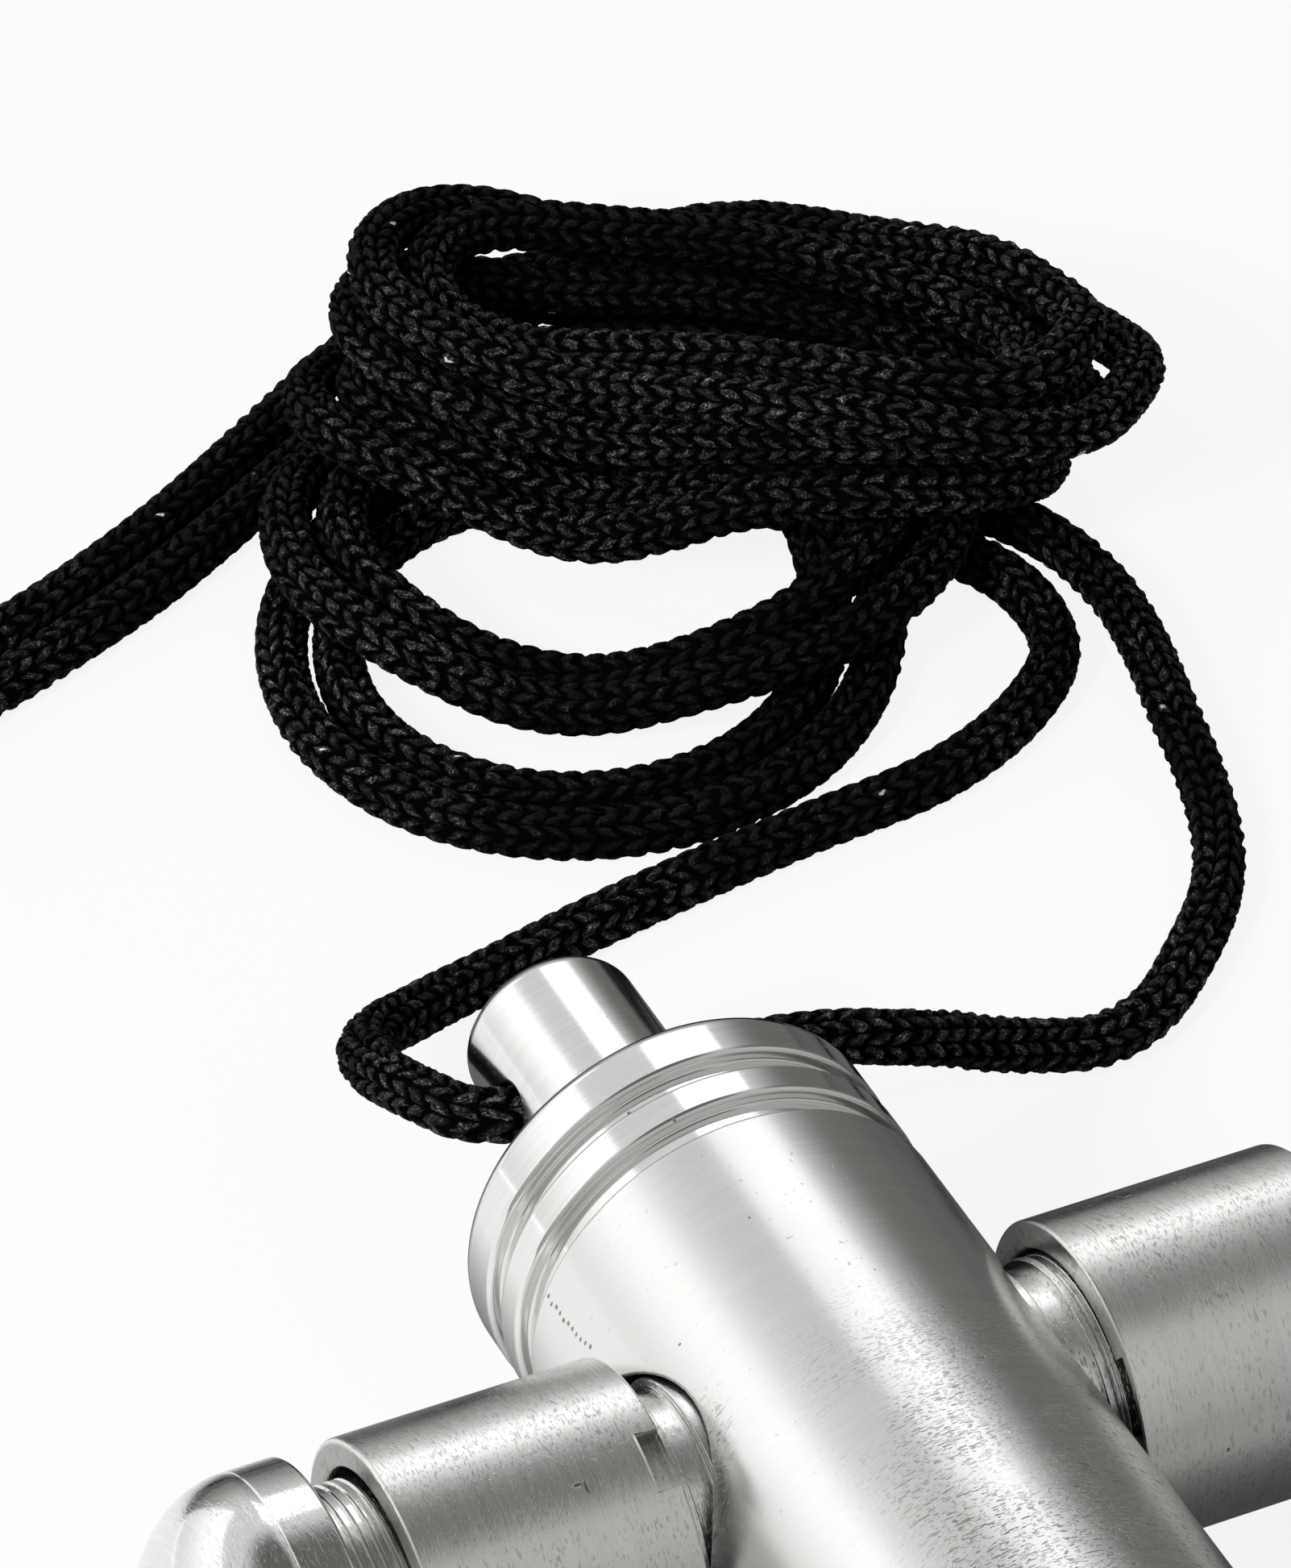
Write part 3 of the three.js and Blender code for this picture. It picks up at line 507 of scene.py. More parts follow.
def knitted_tube(name, line, lines=(), closed=False, thickness=CORD_DIAMETER):
    """A mesh tube in the yarn's knit along a line of points a millimetre apart."""
    length = lengths_along(line)
    rings = int(length[-1] / RING_STEP)
    along = np.linspace(0, length[-1], rings)
    shares = np.interp(along, length, np.arange(len(line)))
    fine = smooth_line(line, shares)
    side, up = carried_frames(fine)
    row = np.linspace(0, round(length[-1] / STITCH_PITCH), rings)[:, None]
    column = np.arange(RING_POINTS)[None, :] * STITCH_COLUMNS / RING_POINTS
    twist = 0.3 * np.sin(row * 0.19) + 0.2 * np.sin(row * 0.083 + 1)
    angle = (column * 2 * math.pi / STITCH_COLUMNS + twist)[..., None]
    wander = 0.02 * np.sin(row * 0.37 + 1.3) + 0.015 * np.sin(row * 0.11)
    radius = thickness / 2 - CORE_DEPTH + STITCH_HEIGHT * stitch_height(column, row) + wander
    if not closed:
        tip = np.clip(np.minimum(along, length[-1] - along) / TIP_LENGTH, 0.03, 1)
        radius *= np.sqrt(1 - (1 - tip) ** 2)[:, None]
    outward = np.cos(angle) * side[:, None] + np.sin(angle) * up[:, None]
    points = fine[:, None] + radius[..., None] * outward
    # How near the next cord is, which the yarn's finish turns into painted shade
    room = unshaded_by_cords(points, shares, line, lines).ravel()
    points = points.reshape(-1, 3)
    faces, uv = tube_faces(row)
    if closed:
        points = points[:-RING_POINTS]
        faces = [[corner % len(points) for corner in face] for face in faces]
    else:
        last_ring = len(points) - RING_POINTS
        faces += [list(range(RING_POINTS))[::-1], list(range(last_ring, len(points)))]
        uv = np.vstack([uv, np.tile(uv[0], (2 * RING_POINTS, 1))])
    mesh = bpy.data.meshes.new(name)
    mesh.from_pydata((points * MM).tolist(), [], faces)
    mesh.uv_layers.new(name="knit").data.foreach_set("uv", uv.ravel())
    mesh.attributes.new("unshaded_by_cords", "FLOAT", "POINT").data.foreach_set("value", room[:len(points)])
    mesh.shade_smooth()
    mesh.materials.append(yarn)
    print(f"{name}: {length[-1]:.0f} mm, {rings} rings, {2 * len(faces)} triangles")
    return placed(name, mesh)


STRANDS = ("outer", "inner")
both_lines = (outer_line, inner_line)
strands = [
    knitted_tube(f"cord_strand_{place}", line, both_lines) for place, line in zip(STRANDS, both_lines)]

# %% [markdown]
# The two strands end in an overhand knot, which lies beside the hank, out of the picture. A knot is a
# tube that runs round itself three times, so a trefoil curve pulled tight gives the right lump with
# the cord really passing over and under. The strands go through it and end just past it, melted round.

# %% Tie the knot
knot_low, knot_high = (np.array(corner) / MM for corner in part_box("cord_knot"))
KNOT_RING, KNOT_SWING, KNOT_RISE, KNOT_CORD, KNOT_STEPS = 2.5, 1.45, 2.4, 2.9, 60


def knot_line():
    t = np.linspace(0, 2 * math.pi, KNOT_STEPS + 1)
    reach = KNOT_RING + KNOT_SWING * np.cos(3 * t)
    line = np.stack([reach * np.cos(2 * t), reach * np.sin(2 * t), KNOT_RISE * np.sin(3 * t)], axis=1)
    return line + (knot_low + knot_high) / 2


knot = knitted_tube("cord_knot_lump", knot_line(), closed=True, thickness=KNOT_CORD)

# %% [markdown]
# Each strand and the knot stand for the imported model's cord nodes, which are hidden, and
# ride on the whistle's body.

def handed_over(piece, slot, body, *nodes):
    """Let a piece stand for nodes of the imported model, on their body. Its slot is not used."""
    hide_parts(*nodes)
    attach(piece, body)


for piece, line, place, hand, side in zip(strands, both_lines, STRANDS, ("right", "left"), (1, -1)):
    nodes = (f"cord_run_{hand}", f"cord_coil_{place}", f"cord_tail_{place}")
    handed_over(piece, "cord_yarn", "whistle", *nodes)
handed_over(knot, "cord_yarn", "whistle", "cord_knot")

# %% [markdown]
# ## Turned metal
# Nearly every part of the whistle came off a lathe, so it is an outline swept round an axis. Metal is
# read by its reflections, and they follow the normals, so every corner gets a small true round and the
# exact normal of the outline is stored on each face corner, instead of one averaged over its faces.
# Each piece is made standing on its own Z axis and then laid along its place in the whistle. The
# brushed finish needs this, because its grain runs round the object's own Z.

# %% Outlines with rounded corners
ARC_STEP = math.radians(12)


def left_of(direction):
    return np.array((-direction[1], direction[0]))


def rounded_outline(corners, closed=False):
    """(radius, height, rounding) corners, walked with the metal on the left, as points and normals."""
    points, normals = [], []
    count = len(corners)
    place = [np.array(corner[:2], float) for corner in corners]
    for i, corner in enumerate(corners):
        ends = not closed and i in (0, count - 1)
        before = place[i] - place[i - 1] if i or closed else None
        after = place[(i + 1) % count] - place[i] if i < count - 1 or closed else None
        into = before / np.linalg.norm(before) if before is not None else after / np.linalg.norm(after)
        out = after / np.linalg.norm(after) if after is not None else into
        rounding = corner[2] if len(corner) > 2 else 0
        turn = math.atan2(into[0] * out[1] - into[1] * out[0], into @ out)
        if ends or not rounding or abs(turn) < 1e-4:
            facing = -left_of(into + out)
            points.append(place[i])
            normals.append(facing / np.linalg.norm(facing))
            continue
        sign = math.copysign(1, turn)
        start = place[i] - into * rounding * math.tan(abs(turn) / 2)
        middle = start + sign * rounding * left_of(into)
        steps = max(3, math.ceil(abs(turn) / ARC_STEP))
        for a in turn * np.arange(steps + 1) / steps:
            heading = into * math.cos(a) + left_of(into) * math.sin(a)
            points.append(middle - sign * rounding * left_of(heading))
            normals.append(-left_of(heading))
    return np.array(points), np.array(normals)


example = [(0, 0), (5, 0, 0.2), (5, 9, 1), (0, 9)]
print("Example:", len(rounded_outline(example)[0]), "points in a post's outline")

# %% [markdown]
# A skin collects points, faces and corner normals, and turns them into a Blender object. It also turns
# round any face whose corners run the wrong way, which its normals show. Sweeping an outline can leave a
# notch: over a range of angles the outline takes another path, and two flat walls close its ends.

# %% Sweep an outline round its axis
AROUND = 160
FULL_TURN = 2 * math.pi


class Skin:
    def __init__(self):
        self.points, self.faces, self.normals = [], [], []

    def add(self, points):
        first = len(self.points)
        self.points.extend(np.asarray(points, float).reshape(-1, 3))
        return np.arange(first, len(self.points))

    def ring(self, radius, height, spin):
        """A row of points round Z. On the axis, one point stands for all of them."""
        if radius < 1e-6:
            return np.repeat(self.add((0, 0, height)), len(spin))
        return self.add([(radius * c, radius * s, height) for c, s in spin])

    def face(self, corners, normals):
        kept = [i for i in range(len(corners)) if corners[i] != corners[i - 1]]
        if len(kept) > 2:
            self.faces.append([int(corners[i]) for i in kept])
            self.normals.append([np.asarray(normals[i], float) for i in kept])

    def between(self, row, normals, next_row, next_normals, left_out=()):
        """Join two rings of points that have one normal each."""
        for k in range(len(row)):
            j = (k + 1) % len(row)
            if k not in left_out:
                self.face([row[k], row[j], next_row[j], next_row[k]],
                          [normals[k], normals[j], next_normals[j], next_normals[k]])

    def build(self, name, finish):
        for face, normals in zip(self.faces, self.normals):
            ring = np.array([self.points[i] for i in face])
            facing = np.cross(ring, np.roll(ring, -1, axis=0)).sum(axis=0)
            if facing @ np.sum(normals, axis=0) < 0:
                face.reverse()
                normals.reverse()
        mesh = bpy.data.meshes.new(name)
        mesh.from_pydata((np.array(self.points) * MM).tolist(), [], self.faces)
        mesh.shade_smooth()
        flat = np.array([normal for normals in self.normals for normal in normals])
        mesh.normals_split_custom_set((flat / np.linalg.norm(flat, axis=1)[:, None]).tolist())
        mesh.materials.append(finish)
        return placed(name, mesh)


def spun(angles, normals):
    """The directions of angles round Z, and the normals of an outline turned to each of them."""
    spin = np.stack([np.cos(angles), np.sin(angles)], axis=1)
    return spin, [np.column_stack([out * spin, np.full(len(spin), up)]) for out, up in normals]


def even_angles(count=AROUND):
    return np.arange(count) * FULL_TURN / count


def swept(points, normals, profile_closed=False, notches=()):
    """The skin of an outline swept round Z. A notch is (first angle, last angle, from, to, path), and a
    sixth value makes it flat below that radius."""
    skin = Skin()
    edges = [np.radians(notch[:2]) % FULL_TURN for notch in notches]
    angles = np.sort(np.concatenate([even_angles(), *edges]))
    angles = angles[np.diff(angles, prepend=-1) > 1e-5]
    count = len(angles)
    spin, facing = spun(angles, normals)
    rows = [skin.ring(radius, height, spin) for radius, height in points]
    pairs = [(i, (i + 1) % len(points)) for i in range(len(points) - (not profile_closed))]
    cut = {pair: set() for pair in pairs}
    for first, last, start, end, path, *flat in notches:
        a, b = (int(np.argmin(np.abs(angles - np.radians(x) % FULL_TURN))) for x in (first, last))
        columns = [(a + i) % count for i in range((b - a) % count + 1)]
        span = [start]
        while span[-1] != end:
            span.append((span[-1] + 1) % len(points))
        for pair in zip(span, span[1:]):
            cut[pair].update(columns[:-1])
        stretch = 1 / np.cos(angles - math.radians((first + last) / 2))
        new_rows = []
        for radius, height in path:
            reach = radius * stretch if flat and radius < flat[0] else np.full(count, radius)
            new_rows.append(dict(zip(columns, skin.add([(*reach[k] * spin[k], height) for k in columns]))))
        chain = [rows[start], *new_rows, rows[end]]
        line = np.array([points[start], *path, points[end]], float)
        for row, next_row, step in zip(chain, chain[1:], np.diff(line, axis=0)):
            _, (out,) = spun(angles, [-left_of(step / np.linalg.norm(step))])
            for k, j in zip(columns, columns[1:]):
                skin.face([row[k], row[j], next_row[j], next_row[k]], [out[k], out[j], out[j], out[k]])
        for k, sign in ((columns[0], 1), (columns[-1], -1)):
            corners = [rows[i][k] for i in span] + [row[k] for row in new_rows[::-1]]
            wall = (-sign * spin[k][1], sign * spin[k][0], 0)
            skin.face(corners, [wall] * len(corners))
    for i, j in pairs:
        skin.between(rows[i], facing[i], rows[j], facing[j], cut[i, j])
    return skin


def nearest(points, place):
    return int(np.argmin(np.linalg.norm(points - np.array(place), axis=1)))


print(f"Outlines are swept in {AROUND} steps")

# %% [markdown]
# The lug and the barrel are round posts with a bore across them. A Boolean cut would leave long thin
# faces that spoil the reflections, so the bore's mouth is drawn as rings that grow from the hole's
# round edge into a square patch of the wall, and the rest of the wall joins that patch point to point.

# %% A round post with a rounded bore across it
PATCH_STEPS = 16
PATCH_RINGS = 6
RIM_STEPS = 5


def bored_post(corners, radius, bore_at, bore, rim, patch):
    """A post on Z with a bore along its Y, whose mouths have a rounded rim."""
    points, normals = rounded_outline(corners)
    wall = [i for i in range(len(points)) if abs(points[i][0] - radius) < 1e-6]
    low, high = wall[0], wall[-1]
    steps = np.linspace(-patch, patch, PATCH_STEPS + 1)
    inserted = np.stack([np.full(PATCH_STEPS + 1, radius), bore_at + steps], axis=1)
    points = np.vstack([points[:low + 1], inserted, points[high:]])
    normals = np.vstack([normals[:low + 1], np.tile((1.0, 0.0), (PATCH_STEPS + 1, 1)), normals[high:]])
    reach = np.arccos(steps / radius)[::-1]
    extra = np.linspace(0, math.pi - (reach[-1] - reach[0]), AROUND // 3)[1:-1]
    angles = [reach, reach[-1] + extra, FULL_TURN - reach[::-1], FULL_TURN - reach[0] + extra]
    order = np.sort(np.concatenate(angles) % FULL_TURN)
    skin = Skin()
    spin, facing = spun(order, normals)
    rows = [skin.ring(r, h, spin) for r, h in points]
    inside = np.abs(spin[:, 0] * radius) < patch + 1e-6
    hole = set(np.nonzero(inside & np.roll(inside, -1))[0])
    for i in range(len(points) - 1):
        patched = low + 1 <= i < low + 1 + PATCH_STEPS
        skin.between(rows[i], facing[i], rows[i + 1], facing[i + 1], hole if patched else ())
    edge = [(step, -patch) for step in steps[:-1]] + [(patch, step) for step in steps[:-1]]
    edge = np.array(edge + [(-q, -p) for q, p in edge])
    heading = edge / np.linalg.norm(edge, axis=1)[:, None]
    inward = np.column_stack([-heading[:, 0], 0 * heading[:, 0], -heading[:, 1]])
    mouths = []
    for side in (1, -1):
        def on_wall(flat):
            """Points of the wall, and their normals."""
            x, y = flat[:, 0], side * np.sqrt(radius ** 2 - flat[:, 0] ** 2)
            return np.column_stack([x, y, bore_at + flat[:, 1]]), np.column_stack([x, y, 0 * x]) / radius

        border = []
        for q, p in edge:
            angle = math.acos(q / radius) * side % FULL_TURN
            row = rows[low + 1 + int(np.argmin(np.abs(steps - p)))]
            border.append(row[int(np.argmin(np.abs(order - angle)))])
        rings = [(np.array(border), on_wall(edge)[1])]
        for share in np.arange(1, PATCH_RINGS + 1) / PATCH_RINGS:
            place, out = on_wall(edge * (1 - share) + heading * (bore + rim) * share)
            rings.append((skin.add(place), out))
        for b in math.pi / 2 * np.arange(1, RIM_STEPS + 1) / RIM_STEPS:
            place, out = on_wall(heading * (bore + rim * (1 - math.sin(b))))
            place[:, 1] -= side * rim * (1 - math.cos(b))
            rings.append((skin.add(place), out * math.cos(b) + inward * math.sin(b)))
        rings[-1] = (rings[-1][0], inward)
        for outer, inner in zip(rings, rings[1:]):
            skin.between(*outer, *inner)
        mouths += rings[-1]
    skin.between(*mouths)
    return skin


print("Bored posts are ready")

# %% [markdown]
# ## Turned aluminium
# The barrel, tubes and mouthpiece are left as the tool cut them: fine grooves run round them, which
# smear a reflection along the piece and keep it crisp across. That is what the shader's anisotropy
# does, and its unlinked tangent runs round the object's own Z. Over it lie short marks and small pits,
# drawn by noise that is stretched round the axis. The polished pieces have the same marks, much finer.

# %% The metal finishes
ALUMINIUM = (0.90, 0.895, 0.885)
DULL_ALUMINIUM = tuple(part * 0.90 for part in ALUMINIUM)
# A grimy colour for tool marks and nicks, which also serves as painted shade
GRIME_AND_SHADE = (0.20, 0.19, 0.175)
# Near black, for painted shade deep in the blow slot
SLOT_SHADE_BLACK = (0.02, 0.019, 0.018)
BARREL_RADIUS = (barrel_high.x - barrel_low.x) / 2 / MM
TUBE_GAP = 0.3  # between the barrel and the side tubes
TUBE_START = BARREL_RADIUS + TUBE_GAP
TUBE_RADIUS = 9.4


def aluminium_finish(name, roughness, spread, grain, anisotropy, chatter=0, worn=(-1, -2), clean_lit_edge=-200,
                     port=0, recess=0, shadow=None, hollow=None, nicks=()):
    """Spread is how much rougher the dull places are, and grain is how deep the tool's lines are. Chatter
    is how strong the short tool marks are; they grow from worn[0] to worn[1] along Z, past the angle
    clean, and near a port of that radius. Before the angle clean the tone stays light, a painted
    highlight where the brightest reflection falls. Tool marks and nicks take a grimy colour. Below the
    radius recess, beyond the tube's start and past -28 degrees, painted shade darkens the metal, and
    past the angle shadow painted shade and a painted dark reflection fall on it. A hollow is (half
    height, half width, start), and painted shade darkens it inwards. A nick is (height, angle, half
    length, half angle)."""
    material, board = new_finish(name)
    place = board.node("ShaderNodeTexCoord", out="Object")
    x, y, z = board.parts(place)
    angle = x.sum("ARCTAN2", y, x)

    def marks(round_scale, along_scale, detail):
        return board.noise(board.vector(x * round_scale, y * round_scale, z * along_scale), 1, detail)

    def past(degrees, width):
        return angle.ramp(math.radians(degrees), math.radians(degrees + width))

    fine, broad, dash = marks(260, 9000, 2), marks(90, 1500, 2), marks(1600, 7000, 1)
    cloud = board.noise(place, 160, 3)
    pits = board.noise(place, 2600, 1).ramp(0.70, 0.78)
    rough_side = past(clean_lit_edge, 25)
    share = (0 - z).ramp(-worn[0] * MM, -worn[1] * MM) * cloud.ramp(0.25, 0.6) * rough_side
    if port:
        ring = 1 - ((x * x + z * z) ** 0.5).ramp(port * MM, (port + 1.3) * MM)
        share = share.larger(ring * (0 - z).ramp(-2 * MM, 4 * MM))
    groove = dash.ramp(0.60, 0.68) * share * chatter
    burr = (1 - dash).ramp(0.60, 0.68) * share * chatter
    for height, turn, long, wide in nicks:
        off, aside = (z - height * MM) / (long * MM), (angle - math.radians(turn)) / math.radians(wide)
        groove = groove.larger((1 - off * off - aside * aside).ramp(0, 0.7))
    dull = fine * 0.5 + broad * 0.3 + cloud * 0.4
    # Before the clean angle the tone stays light, a painted highlight where the brightest reflection falls
    tone = (fine * 0.7 + broad * 0.5).ramp(0.35, 0.85).larger(0.8 - 0.8 * rough_side)
    colour = board.blend(groove * 0.8, board.blend(tone, DULL_ALUMINIUM, ALUMINIUM), GRIME_AND_SHADE)
    # Painted shade in the tubes' windows and pockets, below the radius recess
    if recess:
        depth = (recess * MM - (x * x + y * y) ** 0.5).ramp(0, 0.3 * MM)
        colour = board.blend(depth * (z > (TUBE_START + 0.05) * MM) * past(-28, 13) * 0.8, colour, GRIME_AND_SHADE)
    # Painted shade that darkens the blow slot inwards
    if hollow:
        half_height, half_width, start = (value * MM for value in hollow)
        inside = (half_height - x.size() > 0) * (half_width - y.size() > 0)
        colour = board.blend(inside * (z - start).ramp(0, 5 * MM), colour, SLOT_SHADE_BLACK)
    # Painted shade and a painted dark reflection past the angle shadow
    if shadow:
        colour = board.blend(past(shadow, 9) * 0.9, colour, GRIME_AND_SHADE)
    height = (fine * 0.6 + broad * 0.4 - pits) * (0.35 + 0.65 * rough_side) * grain + burr - groove
    board.close(board.principled({
        "Base Color": colour,
        "Metallic": 1.0,
        "Roughness": roughness + spread * dull + 0.15 * pits + 0.1 * groove,
        "Anisotropic": anisotropy,
        "Anisotropic Rotation": 0.25,
        "Normal": board.bump(height, 1.0, 0.02 * MM),
    }))
    return material


# Little stops of the tool in a row on the barrel, each a bit out of line
nick_random = np.random.default_rng(5)
tool_stops = [
    (15 - 0.5 * k, -69 + 0.015 * k * k + nick_random.normal(0, 0.5), 0.1 + 0.06 * nick_random.random(), 0.8)
    for k in range(13)
]
# Barrel and mouthpiece keep a painted highlight in their tone below -38 degrees
TURNED = dict(roughness=0.16, spread=0.16, grain=0.13, anisotropy=0.55, worn=(4, -14), clean_lit_edge=-38)
WORN_ALL_ALONG = (80, 60)
barrel_satin = aluminium_finish(
    "turned_barrel", **TURNED, chatter=0.8, port=8.4,
    nicks=tool_stops + [(7.4, -13.2, 0.08, 0.4), (3.3, -45.3, 0.08, 0.5)])
# The side tubes, with painted shade in their windows and pockets
satin = aluminium_finish(
    "turned_aluminium", roughness=0.18, spread=0.16, grain=0.15, anisotropy=0.5, chatter=0.5,
    worn=WORN_ALL_ALONG, recess=TUBE_RADIUS - 0.08,
    nicks=[(17.8, -26.6, 0.12, 3), (18.2, -25, 0.3, 1), (17.5, 81.6, 0.12, 1)])
# The necks and fipple plugs, with painted shade past 52 degrees
matt_polish = aluminium_finish(
    "turned_rings", roughness=0.16, spread=0.14, grain=0.3, anisotropy=0.5, chatter=0.7,
    worn=WORN_ALL_ALONG, shadow=52)
dome_polish = aluminium_finish(
    "worn_domes", roughness=0.07, spread=0.09, grain=0.1, anisotropy=0.3, chatter=0.2, worn=WORN_ALL_ALONG)
lug_polish = aluminium_finish("polished_lug", roughness=0.12, spread=0.08, grain=0.08, anisotropy=0.3)
polished = aluminium_finish(
    "polished_aluminium", roughness=0.07, spread=0.06, grain=0.04, anisotropy=0.2,
    nicks=[(19.2, -21.9, 0.14, 0.8), (16.4, -14, 0.1, 0.5)])
print("Finishes:", barrel_satin.name, satin.name, matt_polish.name, dome_polish.name, polished.name)

# %% [markdown]
# ## Barrel, cap, lug and mouthpiece
# They stand on one axis along Y. The helper lays a piece along its direction with the object's X
# pointing up, so that an angle round the piece is counted from straight up.

# %% Lay a piece along its axis and hand it to its body
SATIN_SLOT, POLISHED_SLOT = "satin_aluminium", "polished_aluminium"
ALONG_BARREL = Vector((0, 1, 0))
SEAM = 0.15


def laid_along(piece, axis, node, slot, body="whistle"):
    up = Vector((0, 0, 1))
    turn = Matrix((up, axis.cross(up), axis)).transposed().to_4x4()
    piece.matrix_world = Matrix.Translation((0, 0, AXIS_HEIGHT)) @ turn
    bpy.context.view_layer.update()
    handed_over(piece, slot, body, node)
    print(f"{piece.name}: {len(piece.data.polygons)} faces for {node}")


def range_along_barrel(node):
    return [corner.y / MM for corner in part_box(node)]


PORT_RADIUS, PORT_RIM, PORT_PATCH = 7.8, 0.2, 9.6
barrel_start, barrel_end = range_along_barrel("barrel")
mouth_top = barrel_start - SEAM
barrel_skin = bored_post(
    [(0, mouth_top), (BARREL_RADIUS, mouth_top, 0.15), (BARREL_RADIUS, barrel_end, 0.35), (0, barrel_end)],
    BARREL_RADIUS, 0, PORT_RADIUS, PORT_RIM, PORT_PATCH)
laid_along(barrel_skin.build("barrel_tube", barrel_satin), ALONG_BARREL, "barrel", SATIN_SLOT)

# %% The cap with its two grooves
GROOVE_WIDTH, GROOVE_DEPTH, LOWER_BEAD, CAP_GAP = 1.4, 0.8, 2.3, 0.3
BEAD_ROUND, GROOVE_ROUND, SHOULDER_ROUND = 0.35, 0.2, 1.1
_, cap_top = range_along_barrel("top_cap")
cap_neck = BARREL_RADIUS - GROOVE_DEPTH
lower_bead = barrel_end + CAP_GAP + GROOVE_WIDTH
upper_groove = lower_bead + LOWER_BEAD
upper_bead = upper_groove + GROOVE_WIDTH
cap_outline = rounded_outline([
    (0, barrel_end - SEAM), (cap_neck, barrel_end - SEAM, 0.05), (cap_neck, lower_bead, GROOVE_ROUND),
    (BARREL_RADIUS, lower_bead, BEAD_ROUND), (BARREL_RADIUS, upper_groove, BEAD_ROUND),
    (cap_neck, upper_groove, GROOVE_ROUND), (cap_neck, upper_bead, GROOVE_ROUND),
    (BARREL_RADIUS, upper_bead, BEAD_ROUND), (BARREL_RADIUS, cap_top, SHOULDER_ROUND), (0, cap_top)])
laid_along(swept(*cap_outline).build("grooved_cap", polished), ALONG_BARREL, "top_cap", POLISHED_SLOT)

# %% The lug and its bore
LUG_BORE, LUG_RIM, LUG_PATCH, LUG_END_ROUND = 3.7, 0.35, 3.4, 1.3
_, lug_end = range_along_barrel("lanyard_lug")
lug_start = cap_top - SEAM
lug_skin = bored_post(
    [(0, lug_start), (LUG_RADIUS, lug_start, 0.1), (LUG_RADIUS, lug_end, LUG_END_ROUND), (0, lug_end)],
    LUG_RADIUS, LUG_BORE_AT, LUG_BORE / 2, LUG_RIM, LUG_PATCH)
laid_along(lug_skin.build("cord_lug", lug_polish), ALONG_BARREL, "lanyard_lug", POLISHED_SLOT)

# %% [markdown]
# The mouthpiece goes from the barrel's round to a flat beak. At each height, the round and the two flat
# flanks are blended by adding high powers of their distances, which keeps the flats flat and rounds
# the edge where they meet. The blow slot is a rounded rectangle cut into the tip.

# %% The mouthpiece
MOUTH_TAPER, MOUTH_TIP_RADIUS, MOUTH_TIP_HALF, MOUTH_SWELL = 6.5, 9, 4.5, 2
MOUTH_TIP_ROUND, MOUTH_AROUND, TAPER_RINGS, BEAK_RINGS, TIP_STEPS = 1, 192, 16, 14, 6
SLOT_HALF_WIDTH, SLOT_HALF_HEIGHT, SLOT_DEPTH, SLOT_RIM, SLOT_RIM_STEPS = 5.75, 1.7, 10, 0.35, 5
BLEND_POWER, SLOT_POWER = 26, 8
mouth_tip, _ = range_along_barrel("mouthpiece")
taper_end = mouth_top - MOUTH_TAPER


def mouth_radius(height, angle):
    """Distance from the axis to the mouthpiece's skin."""
    share = np.clip((height - taper_end) / MOUTH_TAPER, 0, 1)
    ring = MOUTH_TIP_RADIUS + (BARREL_RADIUS - MOUTH_TIP_RADIUS) * share
    # The flank is a quadratic curve from the tip by the taper's end to the barrel
    rise = np.clip(height - mouth_tip, 0, mouth_top - mouth_tip)
    a = mouth_top - 2 * taper_end + mouth_tip
    b = 2 * (taper_end - mouth_tip)
    s = (-b + np.sqrt(b * b + 4 * a * rise)) / (2 * a)
    swell = MOUTH_TIP_HALF + MOUTH_SWELL
    flat = MOUTH_TIP_HALF * (1 - s) ** 2 + 2 * s * (1 - s) * swell + s * s * (BARREL_RADIUS + 1)
    flank = np.abs(np.cos(angle)) / flat
    return (ring ** -BLEND_POWER + flank ** BLEND_POWER) ** (-1 / BLEND_POWER)


def slot_radius(angle):
    """Distance from the axis to the wall of the blow slot."""
    c, s = np.abs(np.cos(angle)) / SLOT_HALF_HEIGHT, np.abs(np.sin(angle)) / SLOT_HALF_WIDTH
    return (c ** SLOT_POWER + s ** SLOT_POWER) ** (-1 / SLOT_POWER)


def quarter_turn(steps):
    """Cosine and sine on the way through a quarter turn."""
    return [(math.cos(b), math.sin(b)) for b in math.pi / 2 * np.arange(steps + 1) / steps]


